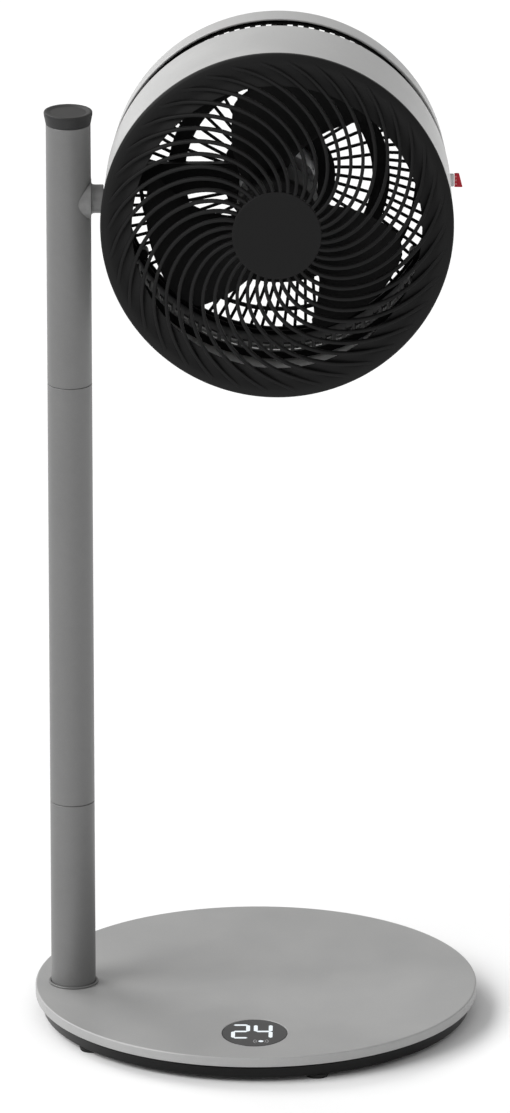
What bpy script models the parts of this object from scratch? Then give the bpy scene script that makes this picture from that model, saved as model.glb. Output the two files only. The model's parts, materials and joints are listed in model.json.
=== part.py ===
"""Pedestal air circulator: a drum head on a side arm, a pole of three tubes and a round swinging base.

Frame: metres, +X to the right, -Y to the front, +Z up. The origin is on the floor under the base's
centre, which is also the axis that the upper part swings about.
"""
import math

import bmesh
import bpy
from mathutils import Vector

# ---------------------------------------------------------------- driving dimensions, in metres
GAP = 0.0003                    # seat or running gap between two pieces

# Base, from the floor up
BASE_RADIUS = 0.165             # top plate
FOOT_HEIGHT = 0.0035
FOOT_RADIUS = 0.009
FOOT_COUNT = 5
FOOT_STUD_RADIUS = 0.003
FOOT_STUD_MARGIN = 0.0015       # between a stud and the pan's inner wall
PAN_HEIGHT = 0.009
PAN_FLOOR = 0.0025
PAN_RIM_WIDTH = 0.007
PAN_INSET = 0.003               # the pan's rim lies this far inside the top plate's edge
PAN_TAPER = 0.0025              # the pan is narrower by this much at its underside
GLIDE_THICKNESS = 0.0009
PLATE_EDGE_HEIGHT = 0.0075
PLATE_SKIN = 0.002
PLATE_SKIRT_WIDTH = 0.005
PLATE_BEVEL = 0.0011
WEIGHT_INNER_RADIUS = 0.075
WEIGHT_THICKNESS = 0.005
WEIGHT_CLEARANCE = 0.010        # between the counterweight and the pan's rim
INLET_WIDTH = 0.012
INLET_BORE_RADIUS = 0.0028
INLET_WALL = 0.0012

# Swing bearing and its drive
SPINDLE_RADIUS = 0.008
SPINDLE_WALL = 0.0067           # wall of the pan's boss around the spindle
HUB_RADIUS = 0.070
HUB_THICKNESS = 0.004
SWING_SCREW_RADIUS = 0.0025
SWING_HEAD_RADIUS = 0.012
SWING_HEAD_THICKNESS = 0.0014
GEAR_MODULE = 0.0015
RING_TEETH = 40
PINION_TEETH = 10
PRESSURE_ANGLE = math.radians(25)
TOOTH_ADDENDUM = 0.80           # in modules
TOOTH_DEDENDUM = 1.05           # in modules
TOOTH_BACKLASH = 0.00025        # taken off each tooth's width
GEAR_THICKNESS = 0.0027
DRIVE_SHAFT_RADIUS = 0.002
DRIVE_SHAFT_DEPTH = 0.0032
SWING_MOTOR_RADIUS = 0.014

# Display in the top plate
DISPLAY_EDGE = 0.054            # from the plate's front edge back to the lens's centre
DISPLAY_HALF_WIDTH = 0.0245
DISPLAY_HALF_DEPTH = 0.029
LENS_THICKNESS = 0.0026
BOARD_THICKNESS = 0.0016
BOARD_MARGIN = 0.005

# Pole
POLE_RADIUS = 0.0166
TUBE_WALL = 0.0015
LOWER_TUBE_LENGTH = 0.1465
MIDDLE_TUBE_LENGTH = 0.328
UPPER_TUBE_LENGTH = 0.2012
COUPLER_HALF_LENGTH = 0.030
COUPLER_WALL = 0.002
SOCKET_FLANGE_WIDTH = 0.0064    # how far the flange stands out of the tube
SOCKET_EDGE_CLEARANCE = 0.0004  # between the flange and the top plate's skirt
SOCKET_FLANGE_THICKNESS = 0.004
SOCKET_HEIGHT = 0.036
SOCKET_BORE_RADIUS = 0.010
POLE_RING_WIDTH = 0.0016
POLE_RING_HEIGHT = 0.0012
CAP_HEIGHT = 0.0095
CAP_FLARE = 0.0014
CAP_PLUG_LENGTH = 0.012

# Tilt arm and friction joint
ARM_DROP = 0.0582               # from the upper tube's end down to the tilt axis
ARM_LENGTH = 0.0092             # from the pole's surface to the arm's end face
ARM_RADIUS = 0.01065
ARM_FLARE = 0.0045              # fillet radius where the arm meets the pole
ARM_FACE_GAP = 0.0004           # between the arm's end face and the shell
ANCHOR_HALF_LENGTH = 0.020
TILT_SHAFT_RADIUS = 0.005
TILT_SHAFT_BORE_RADIUS = 0.003
TILT_HEAD_RADIUS = 0.008
TILT_HEAD_LENGTH = 0.0067
WASHER_RADIUS = 0.0105
WASHER_THICKNESS = 0.0015
NUT_RADIUS = 0.009
NUT_LENGTH = 0.006
REST_TILT = math.radians(4)     # how far the head looks up at rest

# Head. Distances along its axis are from the tilt axis, and positive is forward
RING_FORWARD = 0.084            # plane of the front ring, the head's widest
RING_RADIUS = 0.130
RIM_THICKNESS = 0.004
SHELL_FRONT_INSET = 0.0005      # the shell's front edge lies this far inside the ring
SHELL_REAR_INSET = 0.002
SHELL_WALL = 0.0025
SHELL_REAR = -0.015
PIVOT_BOSS_RADIUS = 0.0115
PIVOT_BOSS_DEPTH = 0.006
BAND_REAR = -0.0425             # the slotted band ends here and the rear ring begins
REAR_RING_INSET = 0.0035
REAR_RING_WALL = 0.003
RING_LIP_WALL = 0.0012          # the ring's thin front lip, over the slotted band
RING_LIP_DEPTH = 0.006
HEAD_REAR = -0.082

# Front grille
GRILLE_HUB_RADIUS = 0.033
GRILLE_DOME = 0.030             # the hub stands this far in front of the ring's plane
GRILLE_RIM_WIDTH = 0.014
RIB_COUNT = 38
RIB_WIDTH = 0.0026
RIB_DEPTH = 0.005
RIB_SWEEP = math.radians(73)
RIB_SWEEP_POWER = 1.3
DOME_POWER = 1.8
RIB_STEPS = 5
LIP_DEPTH = 0.005

# Rear housing and rear grille
SLOT_BAR_COUNT = 96
SLOT_BAR_WIDTH = 0.003
SLOT_BAR_RECESS = 0.0057        # the bars' outer faces lie this far inside the shell's rear edge
SLOT_BAR_DEPTH = 0.0022
HOUSING_WALL = 0.0032
HOUSING_TUCK_DEPTH = 0.003
REAR_GRILLE_THICKNESS = 0.0032
REAR_GRILLE_RIM_WIDTH = 0.0035
REAR_HUB_RADIUS = 0.042
REAR_HOOP_RADIUS = 0.076
REAR_HOOP_WIDTH = 0.013
OUTER_HOOP_RADIUS = 0.103
OUTER_HOOP_WIDTH = 0.003
REAR_BAR_BITE = 0.002
REAR_LUG_RADIUS = 0.0038
REAR_OUTER_BAR_COUNT = 90
REAR_INNER_BAR_COUNT = 45
REAR_BAR_WIDTH = 0.0016
REAR_BAR_DEPTH = 0.002
REAR_BAR_SLANT = math.radians(-14)
DUCT_WIDTH = 0.021
DUCT_DEPTH = 0.008
DUCT_WALL = 0.0016

# Motor
MOTOR_RADIUS = 0.029
MOTOR_LENGTH = 0.044
MOTOR_WALL = 0.0016
MOTOR_FLOOR = 0.003
END_PLATE_THICKNESS = 0.002
MOTOR_SHAFT_RADIUS = 0.004
BEARING_RADIUS = 0.0095
BEARING_LENGTH = 0.005
BEARING_SEAT_WALL = 0.002
STATOR_LENGTH = 0.022
STATOR_DEPTH = 0.010
MOTOR_COVER_HEIGHT = 0.0042
MOTOR_COVER_WALL = 0.0017

# Propeller
BLADE_COUNT = 3
BLADE_TIP_CLEARANCE = 0.0285    # from the blades' tips to the shell's inner wall
BLADE_THICKNESS = 0.0022
BLADE_HALF_ANGLE_ROOT = math.radians(30)
BLADE_HALF_ANGLE_TIP = math.radians(32.5)
BLADE_SWEEP = math.radians(-31)
BLADE_HALF_RISE_ROOT = 0.017
BLADE_HALF_RISE_TIP = 0.012
BLADE_FIRST_ANGLE = math.radians(-14)
PROPELLER_HUB_RADIUS = 0.030
PROPELLER_HUB_WALL = 0.0025
PROPELLER_REAR = 0.014
PROPELLER_LENGTH = 0.050
PROPELLER_BOSS_RADIUS = 0.008
PROPELLER_NUT_RADIUS = 0.011
PROPELLER_NUT_LENGTH = 0.010

# Red fabric tab on the rear ring
TAB_BACK = 0.058                # behind the tilt axis
TAB_HEIGHT = 0.0103
TAB_WIDTH = 0.006
TAB_TOP_WIDTH = 0.0035
TAB_THICKNESS = 0.002
CLIP_LENGTH = 0.0033
CLIP_HALF_HEIGHT = 0.0045
CLIP_THICKNESS = 0.004

# Screws
SCREW_RADIUS = 0.0015
SCREW_HEAD_RADIUS = 0.0028
SCREW_HEAD_THICKNESS = 0.0014
SCREW_BITE = 0.0009             # how far a base screw enters the plate's skin
SCREW_COUNT = 3
HUB_SCREW_CIRCLE = 0.062
POLE_SCREW_OFFSET = 0.0034      # from the tube's surface out to a screw's axis
MOTOR_SCREW_CIRCLE = 0.020
HOUSING_BOSS_RADIUS = 0.004
HOUSING_BOSS_LENGTH = 0.012

# Segments round a turned piece
FINE = 48
MEDIUM = 32
COARSE = 20
SMALL = 8

# ---------------------------------------------------------------- derived heights and places
SOCKET_FLANGE_RADIUS = POLE_RADIUS + SOCKET_FLANGE_WIDTH
POLE_SCREW_CIRCLE = POLE_RADIUS + POLE_SCREW_OFFSET
CAP_RADIUS = POLE_RADIUS + CAP_FLARE
DISPLAY_FORWARD = BASE_RADIUS - DISPLAY_EDGE
PAN_RADIUS = BASE_RADIUS - PAN_INSET
PAN_BOTTOM = FOOT_HEIGHT
PAN_INSIDE = PAN_BOTTOM + PAN_FLOOR
PAN_TOP = PAN_BOTTOM + PAN_HEIGHT
PAN_INNER_RADIUS = PAN_RADIUS - PAN_RIM_WIDTH
PLATE_BOTTOM = PAN_TOP + GLIDE_THICKNESS + 2 * GAP
PLATE_TOP = PLATE_BOTTOM + PLATE_EDGE_HEIGHT
PLATE_UNDERSIDE = PLATE_TOP - PLATE_SKIN
PLATE_INNER_RADIUS = BASE_RADIUS - PLATE_SKIRT_WIDTH
POLE_X = SOCKET_FLANGE_RADIUS + SOCKET_EDGE_CLEARANCE - PLATE_INNER_RADIUS
HUB_TOP = PLATE_UNDERSIDE - GAP
HUB_BOTTOM = HUB_TOP - HUB_THICKNESS
SPINDLE_BOTTOM = PAN_BOTTOM + SWING_HEAD_THICKNESS + GAP / 2
FOOT_CIRCLE = PAN_INNER_RADIUS - FOOT_STUD_RADIUS - FOOT_STUD_MARGIN
GEAR_TOP = HUB_BOTTOM - GAP
GEAR_BOTTOM = GEAR_TOP - GEAR_THICKNESS
GEAR_DISTANCE = GEAR_MODULE * (RING_TEETH + PINION_TEETH) / 2 + 0.0001
SWING_MOTOR_TOP = GEAR_BOTTOM - GAP

TUBE_INNER_RADIUS = POLE_RADIUS - TUBE_WALL
PLUG_RADIUS = TUBE_INNER_RADIUS - GAP
SOCKET_BOTTOM = PLATE_UNDERSIDE - GAP - SOCKET_FLANGE_THICKNESS
LOWER_TUBE_TOP = PLATE_UNDERSIDE + LOWER_TUBE_LENGTH
MIDDLE_TUBE_TOP = LOWER_TUBE_TOP + MIDDLE_TUBE_LENGTH
POLE_TOP = MIDDLE_TUBE_TOP + UPPER_TUBE_LENGTH

SHELL_FRONT_RADIUS = RING_RADIUS - SHELL_FRONT_INSET
SHELL_REAR_RADIUS = RING_RADIUS - SHELL_REAR_INSET
REAR_RING_RADIUS = RING_RADIUS - REAR_RING_INSET
GRILLE_RIM_INNER = RING_RADIUS - GRILLE_RIM_WIDTH
BLADE_TIP_RADIUS = SHELL_REAR_RADIUS - SHELL_WALL - BLADE_TIP_CLEARANCE
SHELL_FRONT = RING_FORWARD - RIM_THICKNESS - GAP
SHELL_AXIS_RADIUS = SHELL_REAR_RADIUS + (SHELL_FRONT_RADIUS - SHELL_REAR_RADIUS) * (
    (ARM_RADIUS - SHELL_REAR) / (SHELL_FRONT - SHELL_REAR))
ARM_HEIGHT = POLE_TOP - ARM_DROP
ARM_END_X = POLE_X + POLE_RADIUS + ARM_LENGTH
HEAD_X = ARM_END_X + ARM_FACE_GAP + SHELL_AXIS_RADIUS
BOSS_FACE = SHELL_REAR_RADIUS - SHELL_WALL - PIVOT_BOSS_DEPTH
WASHER_FACE = BOSS_FACE - GAP - WASHER_THICKNESS
NUT_FACE = WASHER_FACE - GAP - NUT_LENGTH
TILT_BORE_RADIUS = TILT_SHAFT_RADIUS + GAP

HOUSING_TUCK_RADIUS = SHELL_REAR_RADIUS - SHELL_WALL - GAP
HOUSING_REAR_RADIUS = REAR_RING_RADIUS - REAR_RING_WALL - GAP - 0.0004
HOUSING_INNER_RADIUS = HOUSING_REAR_RADIUS - HOUSING_WALL
REAR_GRILLE_FACE = HEAD_REAR + MOTOR_COVER_HEIGHT + GAP
REAR_GRILLE_FRONT = REAR_GRILLE_FACE + REAR_GRILLE_THICKNESS
HOUSING_REAR = REAR_GRILLE_FRONT + GAP
REAR_GRILLE_RADIUS = HOUSING_REAR_RADIUS - 0.0028
HOUSING_SCREW_CIRCLE = HOUSING_INNER_RADIUS - HOUSING_BOSS_RADIUS + 0.0006

MOTOR_REAR = REAR_GRILLE_FRONT + GAP
MOTOR_FRONT = MOTOR_REAR + MOTOR_LENGTH
SHAFT_BORE_RADIUS = MOTOR_SHAFT_RADIUS + GAP
BEARING_BORE_RADIUS = BEARING_RADIUS + GAP
PROPELLER_FRONT = PROPELLER_REAR + PROPELLER_LENGTH


# ---------------------------------------------------------------- materials
def make_material(name, colour, roughness, metallic):
    """Return a plain Principled material."""
    material = bpy.data.materials.new(name)
    material.use_nodes = True
    shader = material.node_tree.nodes["Principled BSDF"]
    shader.inputs["Base Color"].default_value = (*colour, 1.0)
    shader.inputs["Roughness"].default_value = roughness
    shader.inputs["Metallic"].default_value = metallic
    return material


def make_materials():
    """Return the part's materials by name."""
    palette = {
        "grey_paint": ((0.38, 0.38, 0.37), 0.45, 0.35),
        "pole_paint": ((0.22, 0.22, 0.22), 0.40, 0.45),
        "shell_paint": ((0.56, 0.56, 0.55), 0.40, 0.30),
        "black_plastic": ((0.015, 0.015, 0.015), 0.45, 0.0),
        "gloss_black": ((0.010, 0.010, 0.010), 0.15, 0.0),
        "rubber": ((0.020, 0.020, 0.020), 0.80, 0.0),
        "white_plastic": ((0.75, 0.74, 0.70), 0.50, 0.0),
        "steel": ((0.55, 0.55, 0.56), 0.30, 1.0),
        "cast_iron": ((0.12, 0.12, 0.12), 0.60, 0.8),
        "board_green": ((0.02, 0.16, 0.06), 0.50, 0.0),
        "copper": ((0.55, 0.25, 0.10), 0.35, 0.9),
        "red_fabric": ((0.58, 0.020, 0.035), 0.85, 0.0),
    }
    return {name: make_material(name, *values) for name, values in palette.items()}


# ---------------------------------------------------------------- shape helpers
def finish_object(name, mesh, material, parent, location, rotation):
    """Turn a bmesh into a named object with its faces pointing out."""
    bmesh.ops.recalc_face_normals(mesh, faces=mesh.faces)
    data = bpy.data.meshes.new(name)
    mesh.to_mesh(data)
    mesh.free()
    data.shade_smooth()
    data.set_sharp_from_angle(angle=math.radians(32))
    piece = bpy.data.objects.new(name, data)
    bpy.context.scene.collection.objects.link(piece)
    piece.location = location
    piece.rotation_euler = rotation
    piece.parent = parent
    if material is not None:
        data.materials.append(material)
    return piece


def join_rings(mesh, first, second):
    """Fill between two rings of vertices, either of which may be one vertex on the axis."""
    count = max(len(first), len(second))
    if count == 1:
        return
    for index in range(count):
        after = (index + 1) % count
        if len(first) == 1:
            mesh.faces.new((first[0], second[index], second[after]))
        elif len(second) == 1:
            mesh.faces.new((first[index], first[after], second[0]))
        else:
            mesh.faces.new((first[index], first[after], second[after], second[index]))


def turned(name, outline, segments, material=None, parent=None, location=(0, 0, 0), rotation=(0, 0, 0)):
    """Turn a closed outline of (radius, height) points about the local Z axis."""
    mesh = bmesh.new()
    rings = []
    for radius, height in outline:
        if radius <= 0:
            rings.append([mesh.verts.new((0, 0, height))])
            continue
        angles = [2 * math.pi * step / segments for step in range(segments)]
        ring = [mesh.verts.new((radius * math.cos(a), radius * math.sin(a), height)) for a in angles]
        rings.append(ring)
    for first, second in zip(rings, rings[1:] + rings[:1]):
        join_rings(mesh, first, second)
    return finish_object(name, mesh, material, parent, location, rotation)


def add_prism(mesh, outline, low, high):
    """Add one closed prism with a flat outline of (x, y) points between two heights."""
    below = [mesh.verts.new((x, y, low)) for x, y in outline]
    above = [mesh.verts.new((x, y, high)) for x, y in outline]
    mesh.faces.new(below)
    mesh.faces.new(above)
    join_rings(mesh, below, above)


def prism(name, outline, low, high, material=None, parent=None, location=(0, 0, 0), rotation=(0, 0, 0)):
    """Extrude a flat outline of (x, y) points between two heights on the local Z axis."""
    mesh = bmesh.new()
    add_prism(mesh, outline, low, high)
    return finish_object(name, mesh, material, parent, location, rotation)


def circle_points(centre, radius, segments):
    """Return points on a circle in the local XY plane."""
    x, y = centre
    angles = [2 * math.pi * (step + 0.5) / segments for step in range(segments)]
    return [(x + radius * math.cos(a), y + radius * math.sin(a)) for a in angles]


def polar(radius, angle):
    """Return the (x, y) point at a radius and an angle."""
    return radius * math.cos(angle), radius * math.sin(angle)


def spread(count, first=0.0):
    """Return equal angles round a full turn."""
    return [first + 2 * math.pi * index / count for index in range(count)]


def bar_outline(start, end, width):
    """Return the four corners of a straight bar between two flat points."""
    along = Vector((end[0] - start[0], end[1] - start[1])).normalized()
    side = Vector((-along.y, along.x)) * (width / 2)
    begin = Vector(start)
    finish = Vector(end)
    corners = (begin - side, finish - side, finish + side, begin + side)
    return [(corner.x, corner.y) for corner in corners]


def prisms(name, outlines, low, high, parent=None, location=(0, 0, 0), rotation=(0, 0, 0)):
    """Make one helper object that holds several separate prisms of the same height."""
    mesh = bmesh.new()
    for outline in outlines:
        add_prism(mesh, outline, low, high)
    return finish_object(name, mesh, None, parent, location, rotation)


def combine(target, helper, operation):
    """Apply a Boolean with a hidden helper to a piece."""
    helper.hide_render = True
    helper.display_type = "WIRE"
    modifier = target.modifiers.new(helper.name, "BOOLEAN")
    modifier.operation = operation
    modifier.solver = "EXACT"
    modifier.object = helper


def cut(target, helper):
    """Take a helper's volume away from a piece."""
    combine(target, helper, "DIFFERENCE")


def fuse(target, helper):
    """Add a helper's volume to a piece."""
    combine(target, helper, "UNION")


def axis_empty(name, parent=None, location=(0, 0, 0), rotation=(0, 0, 0)):
    """Make an empty that marks a joint's axis and carries the pieces that move about it."""
    empty = bpy.data.objects.new(name, None)
    bpy.context.scene.collection.objects.link(empty)
    empty.location = location
    empty.rotation_euler = rotation
    empty.parent = parent
    return empty


def fillet(centre, radius, start, end, steps):
    """Return points on an arc in an outline, from one angle in degrees to another."""
    points = []
    for step in range(steps + 1):
        angle = math.radians(start + (end - start) * step / steps)
        points.append((centre[0] + radius * math.cos(angle), centre[1] + radius * math.sin(angle)))
    return points


def screw(name, place, head_at, tip_at, material, parent, radius=SCREW_RADIUS):
    """Make a pan-head screw along local Z, its head outside head_at and its shank's end at tip_at."""
    outward = math.copysign(1.0, head_at - tip_at)
    top = head_at + outward * SCREW_HEAD_THICKNESS
    outline = [(0, tip_at), (radius, tip_at), (radius, head_at), (SCREW_HEAD_RADIUS, head_at),
               (SCREW_HEAD_RADIUS, top), (0, top)]
    return turned(name, outline, SMALL, material, parent, (*place, 0))


# ---------------------------------------------------------------- base, the part that stands still
def build_feet(materials):
    """Make the rubber feet, each with a stud in the pan's floor."""
    for index, angle in enumerate(spread(FOOT_COUNT), start=1):
        pad_top = PAN_BOTTOM - GAP
        stud_top = PAN_INSIDE - GAP
        outline = [(0, 0), (FOOT_RADIUS, 0), (FOOT_RADIUS, pad_top),
                   (FOOT_STUD_RADIUS, pad_top), (FOOT_STUD_RADIUS, stud_top), (0, stud_top)]
        turned(f"foot_{index}", outline, SMALL + 4, materials["rubber"],
               location=(*polar(FOOT_CIRCLE, angle), 0))


def build_base_pan(materials):
    """Make the black pan with its rim, the central boss, and holes for the feet and the inlet."""
    bore = SPINDLE_RADIUS + GAP
    boss = bore + SPINDLE_WALL
    recess = SWING_HEAD_RADIUS + 0.001
    outline = [(recess, PAN_BOTTOM), (PAN_RADIUS - PAN_TAPER, PAN_BOTTOM),
               (PAN_RADIUS - 0.6 * PAN_TAPER, PAN_BOTTOM + 0.001), (PAN_RADIUS, PAN_TOP),
               (PAN_INNER_RADIUS, PAN_TOP), (PAN_INNER_RADIUS, PAN_INSIDE), (boss, PAN_INSIDE),
               (boss, SWING_MOTOR_TOP - GAP), (bore, SWING_MOTOR_TOP - GAP),
               (bore, SPINDLE_BOTTOM), (recess, SPINDLE_BOTTOM)]
    pan = turned("base_pan", outline, FINE, materials["gloss_black"])
    holes = [circle_points(polar(FOOT_CIRCLE, angle), FOOT_STUD_RADIUS + GAP, SMALL)
             for angle in spread(FOOT_COUNT)]
    cut(pan, prisms("pan_foot_holes", holes, PAN_BOTTOM - 0.001, PAN_INSIDE + 0.001))
    half = INLET_WIDTH / 2 + GAP
    notch = [(-half, PAN_INNER_RADIUS - 0.002), (half, PAN_INNER_RADIUS - 0.002),
             (half, PAN_RADIUS + 0.002), (-half, PAN_RADIUS + 0.002)]
    cut(pan, prism("pan_inlet_notch", notch, PAN_INSIDE + 0.0005, PAN_TOP + 0.001))


def build_dc_inlet(materials):
    """Make the power inlet, a block with a round socket in the pan's rear rim."""
    low = PAN_INSIDE + 0.0005 + GAP
    high = PAN_TOP - GAP
    front = PAN_INNER_RADIUS - 0.006
    back = PAN_RADIUS - PAN_TAPER - 0.0005
    half = INLET_WIDTH / 2
    outline = [(-half, front), (half, front), (half, back), (-half, back)]
    inlet = prism("dc_inlet", outline, low, high, materials["black_plastic"])
    bore = min(INLET_BORE_RADIUS, (high - low) / 2 - INLET_WALL / 2)
    length = (back - front) * 0.7
    socket = turned("inlet_bore", [(0, 0), (bore, 0), (bore, length), (0, length)], SMALL + 4,
                    location=(0, back + 0.001, (low + high) / 2), rotation=(math.radians(90), 0, 0))
    cut(inlet, socket)


def build_fixed_base(materials):
    """Make everything that stays still: feet, pan, counterweight, glide ring, motor and inlet."""
    build_feet(materials)
    build_base_pan(materials)
    build_dc_inlet(materials)
    weight_bottom = PAN_INSIDE + GAP
    weight_top = weight_bottom + WEIGHT_THICKNESS
    weight_outer = PAN_INNER_RADIUS - WEIGHT_CLEARANCE
    outline = [(WEIGHT_INNER_RADIUS, weight_bottom), (weight_outer, weight_bottom),
               (weight_outer, weight_top), (WEIGHT_INNER_RADIUS, weight_top)]
    turned("counterweight", outline, MEDIUM, materials["cast_iron"])
    glide_bottom = PAN_TOP + GAP
    glide_top = glide_bottom + GLIDE_THICKNESS
    glide_inner = PAN_INNER_RADIUS + 0.002
    outline = [(glide_inner, glide_bottom), (PAN_RADIUS - 0.0005, glide_bottom),
               (PAN_RADIUS - 0.0005, glide_top), (glide_inner, glide_top)]
    turned("glide_ring", outline, FINE, materials["black_plastic"])
    bore = DRIVE_SHAFT_RADIUS + GAP
    floor = SWING_MOTOR_TOP - DRIVE_SHAFT_DEPTH - GAP
    outline = [(0, weight_bottom), (SWING_MOTOR_RADIUS, weight_bottom),
               (SWING_MOTOR_RADIUS, SWING_MOTOR_TOP), (bore, SWING_MOTOR_TOP), (bore, floor), (0, floor)]
    turned("oscillation_motor", outline, COARSE, materials["steel"], location=(GEAR_DISTANCE, 0, 0))


# ---------------------------------------------------------------- swing gears
def involute(angle):
    """Return the involute function of a pressure angle."""
    return math.tan(angle) - angle


def gear_outline(teeth, flank_points, first_angle):
    """Return the outline of a spur gear with involute flanks and the stated first tooth."""
    pitch = GEAR_MODULE * teeth / 2
    base = pitch * math.cos(PRESSURE_ANGLE)
    root = pitch - TOOTH_DEDENDUM * GEAR_MODULE
    tip = pitch + TOOTH_ADDENDUM * GEAR_MODULE
    half_at_pitch = math.pi / (2 * teeth) - TOOTH_BACKLASH / (2 * pitch)
    flank = []
    for step in range(flank_points):
        radius = root + (tip - root) * step / (flank_points - 1)
        local = math.acos(min(1.0, base / max(radius, base)))
        flank.append((radius, half_at_pitch + involute(PRESSURE_ANGLE) - involute(local)))
    points = []
    for centre in spread(teeth, first_angle):
        points += [polar(radius, centre - half) for radius, half in flank]
        points += [polar(radius, centre + half) for radius, half in reversed(flank)]
    return points


def build_pinion(materials):
    """Make the motor's pinion with its shaft, free to turn about its own axis."""
    axis = axis_empty("pinion_axis", location=(GEAR_DISTANCE, 0, 0))
    outline = gear_outline(PINION_TEETH, 3, math.pi + math.pi / PINION_TEETH)
    pinion = prism("drive_pinion", outline, GEAR_BOTTOM, GEAR_TOP, materials["white_plastic"], axis)
    shaft = circle_points((0, 0), DRIVE_SHAFT_RADIUS, SMALL)
    fuse(pinion, prism("pinion_shaft", shaft, SWING_MOTOR_TOP - DRIVE_SHAFT_DEPTH,
                       GEAR_TOP - GEAR_THICKNESS / 2, parent=axis))


def build_swing_table(materials, swing):
    """Make the hub that turns on the pan's boss, its gear, its screws and the retaining screw."""
    thread = SWING_SCREW_RADIUS + GAP
    thread_top = HUB_BOTTOM - 0.0007
    outline = [(thread, SPINDLE_BOTTOM), (SPINDLE_RADIUS, SPINDLE_BOTTOM), (SPINDLE_RADIUS, HUB_BOTTOM),
               (HUB_RADIUS, HUB_BOTTOM), (HUB_RADIUS, HUB_TOP), (0, HUB_TOP), (0, thread_top),
               (thread, thread_top)]
    hub = turned("turntable_hub", outline, MEDIUM, materials["black_plastic"], swing)
    places = [polar(HUB_SCREW_CIRCLE, angle) for angle in spread(SCREW_COUNT, math.radians(60))]
    holes = [circle_points(place, SCREW_RADIUS + GAP, SMALL) for place in places]
    cut(hub, prisms("hub_screw_holes", holes, HUB_BOTTOM - 0.001, HUB_TOP + 0.001, swing))
    outline = gear_outline(RING_TEETH, 2, 0.0)
    gear = prism("ring_gear", outline, GEAR_BOTTOM, GEAR_TOP, materials["white_plastic"], swing)
    bore = circle_points((0, 0), SPINDLE_RADIUS + GAP, COARSE)
    cut(gear, prism("gear_bore", bore, GEAR_BOTTOM - 0.001, GEAR_TOP + 0.001, parent=swing))
    head_top = SPINDLE_BOTTOM - GAP
    head_bottom = head_top - SWING_HEAD_THICKNESS
    tip = thread_top - 0.001
    outline = [(0, head_bottom), (SWING_HEAD_RADIUS - 0.0005, head_bottom),
               (SWING_HEAD_RADIUS, head_bottom + 0.0004), (SWING_HEAD_RADIUS, head_top),
               (SWING_SCREW_RADIUS, head_top), (SWING_SCREW_RADIUS, tip), (0, tip)]
    turned("swing_screw", outline, COARSE, materials["steel"], swing)
    for index, place in enumerate(places, start=1):
        screw(f"table_screw_{index}", place, HUB_BOTTOM - GAP, PLATE_UNDERSIDE + SCREW_BITE,
              materials["steel"], swing)
    return places


# ---------------------------------------------------------------- swinging top plate and display
def oval(half_width, half_depth, segments):
    """Return an oval outline round the display's centre."""
    angles = [2 * math.pi * (step + 0.5) / segments for step in range(segments)]
    return [(half_width * math.cos(a), -DISPLAY_FORWARD + half_depth * math.sin(a)) for a in angles]


def build_top_plate(materials, swing, screw_places):
    """Make the plate with its skirt, the pole's hole, the display's window and the screw holes."""
    low_bevel = 0.0004
    outline = [(PLATE_INNER_RADIUS, PLATE_BOTTOM), (BASE_RADIUS - low_bevel, PLATE_BOTTOM),
               (BASE_RADIUS, PLATE_BOTTOM + low_bevel), (BASE_RADIUS, PLATE_TOP - PLATE_BEVEL),
               (BASE_RADIUS - PLATE_BEVEL, PLATE_TOP), (0, PLATE_TOP), (0, PLATE_UNDERSIDE),
               (PLATE_INNER_RADIUS, PLATE_UNDERSIDE)]
    plate = turned("base_top", outline, FINE, materials["grey_paint"], swing)
    pole_hole = circle_points((POLE_X, 0), POLE_RADIUS + GAP, COARSE)
    window = oval(DISPLAY_HALF_WIDTH + GAP, DISPLAY_HALF_DEPTH + GAP, COARSE)
    cut(plate, prisms("plate_openings", [pole_hole, window], PLATE_UNDERSIDE - 0.001, PLATE_TOP + 0.001,
                      swing))
    blind = [circle_points(place, SCREW_RADIUS + GAP, SMALL) for place in screw_places]
    cut(plate, prisms("plate_screw_holes", blind, PLATE_UNDERSIDE - 0.001,
                      PLATE_UNDERSIDE + SCREW_BITE + GAP, swing))


def build_display(materials, swing):
    """Make the lens in the plate's window and the circuit board right under it."""
    lens_bottom = PLATE_TOP - LENS_THICKNESS
    outline = oval(DISPLAY_HALF_WIDTH, DISPLAY_HALF_DEPTH, COARSE)
    prism("display_lens", outline, lens_bottom, PLATE_TOP, materials["gloss_black"], swing)
    board_top = min(lens_bottom, PLATE_UNDERSIDE) - GAP
    half_x = DISPLAY_HALF_WIDTH + BOARD_MARGIN
    near = -DISPLAY_FORWARD - DISPLAY_HALF_DEPTH - BOARD_MARGIN
    far = -max(DISPLAY_FORWARD - DISPLAY_HALF_DEPTH, HUB_RADIUS + 2 * GAP)
    outline = [(-half_x, near), (half_x, near), (half_x, far), (-half_x, far)]
    prism("display_board", outline, board_top - BOARD_THICKNESS, board_top, materials["board_green"],
          swing)


# ---------------------------------------------------------------- pole
def tube(name, bottom, top, outer, wall, material, parent, segments=COARSE):
    """Make an open tube on the pole's axis."""
    outline = [(outer - wall, bottom), (outer, bottom), (outer, top), (outer - wall, top)]
    return turned(name, outline, segments, material, parent, (POLE_X, 0, 0))


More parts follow.
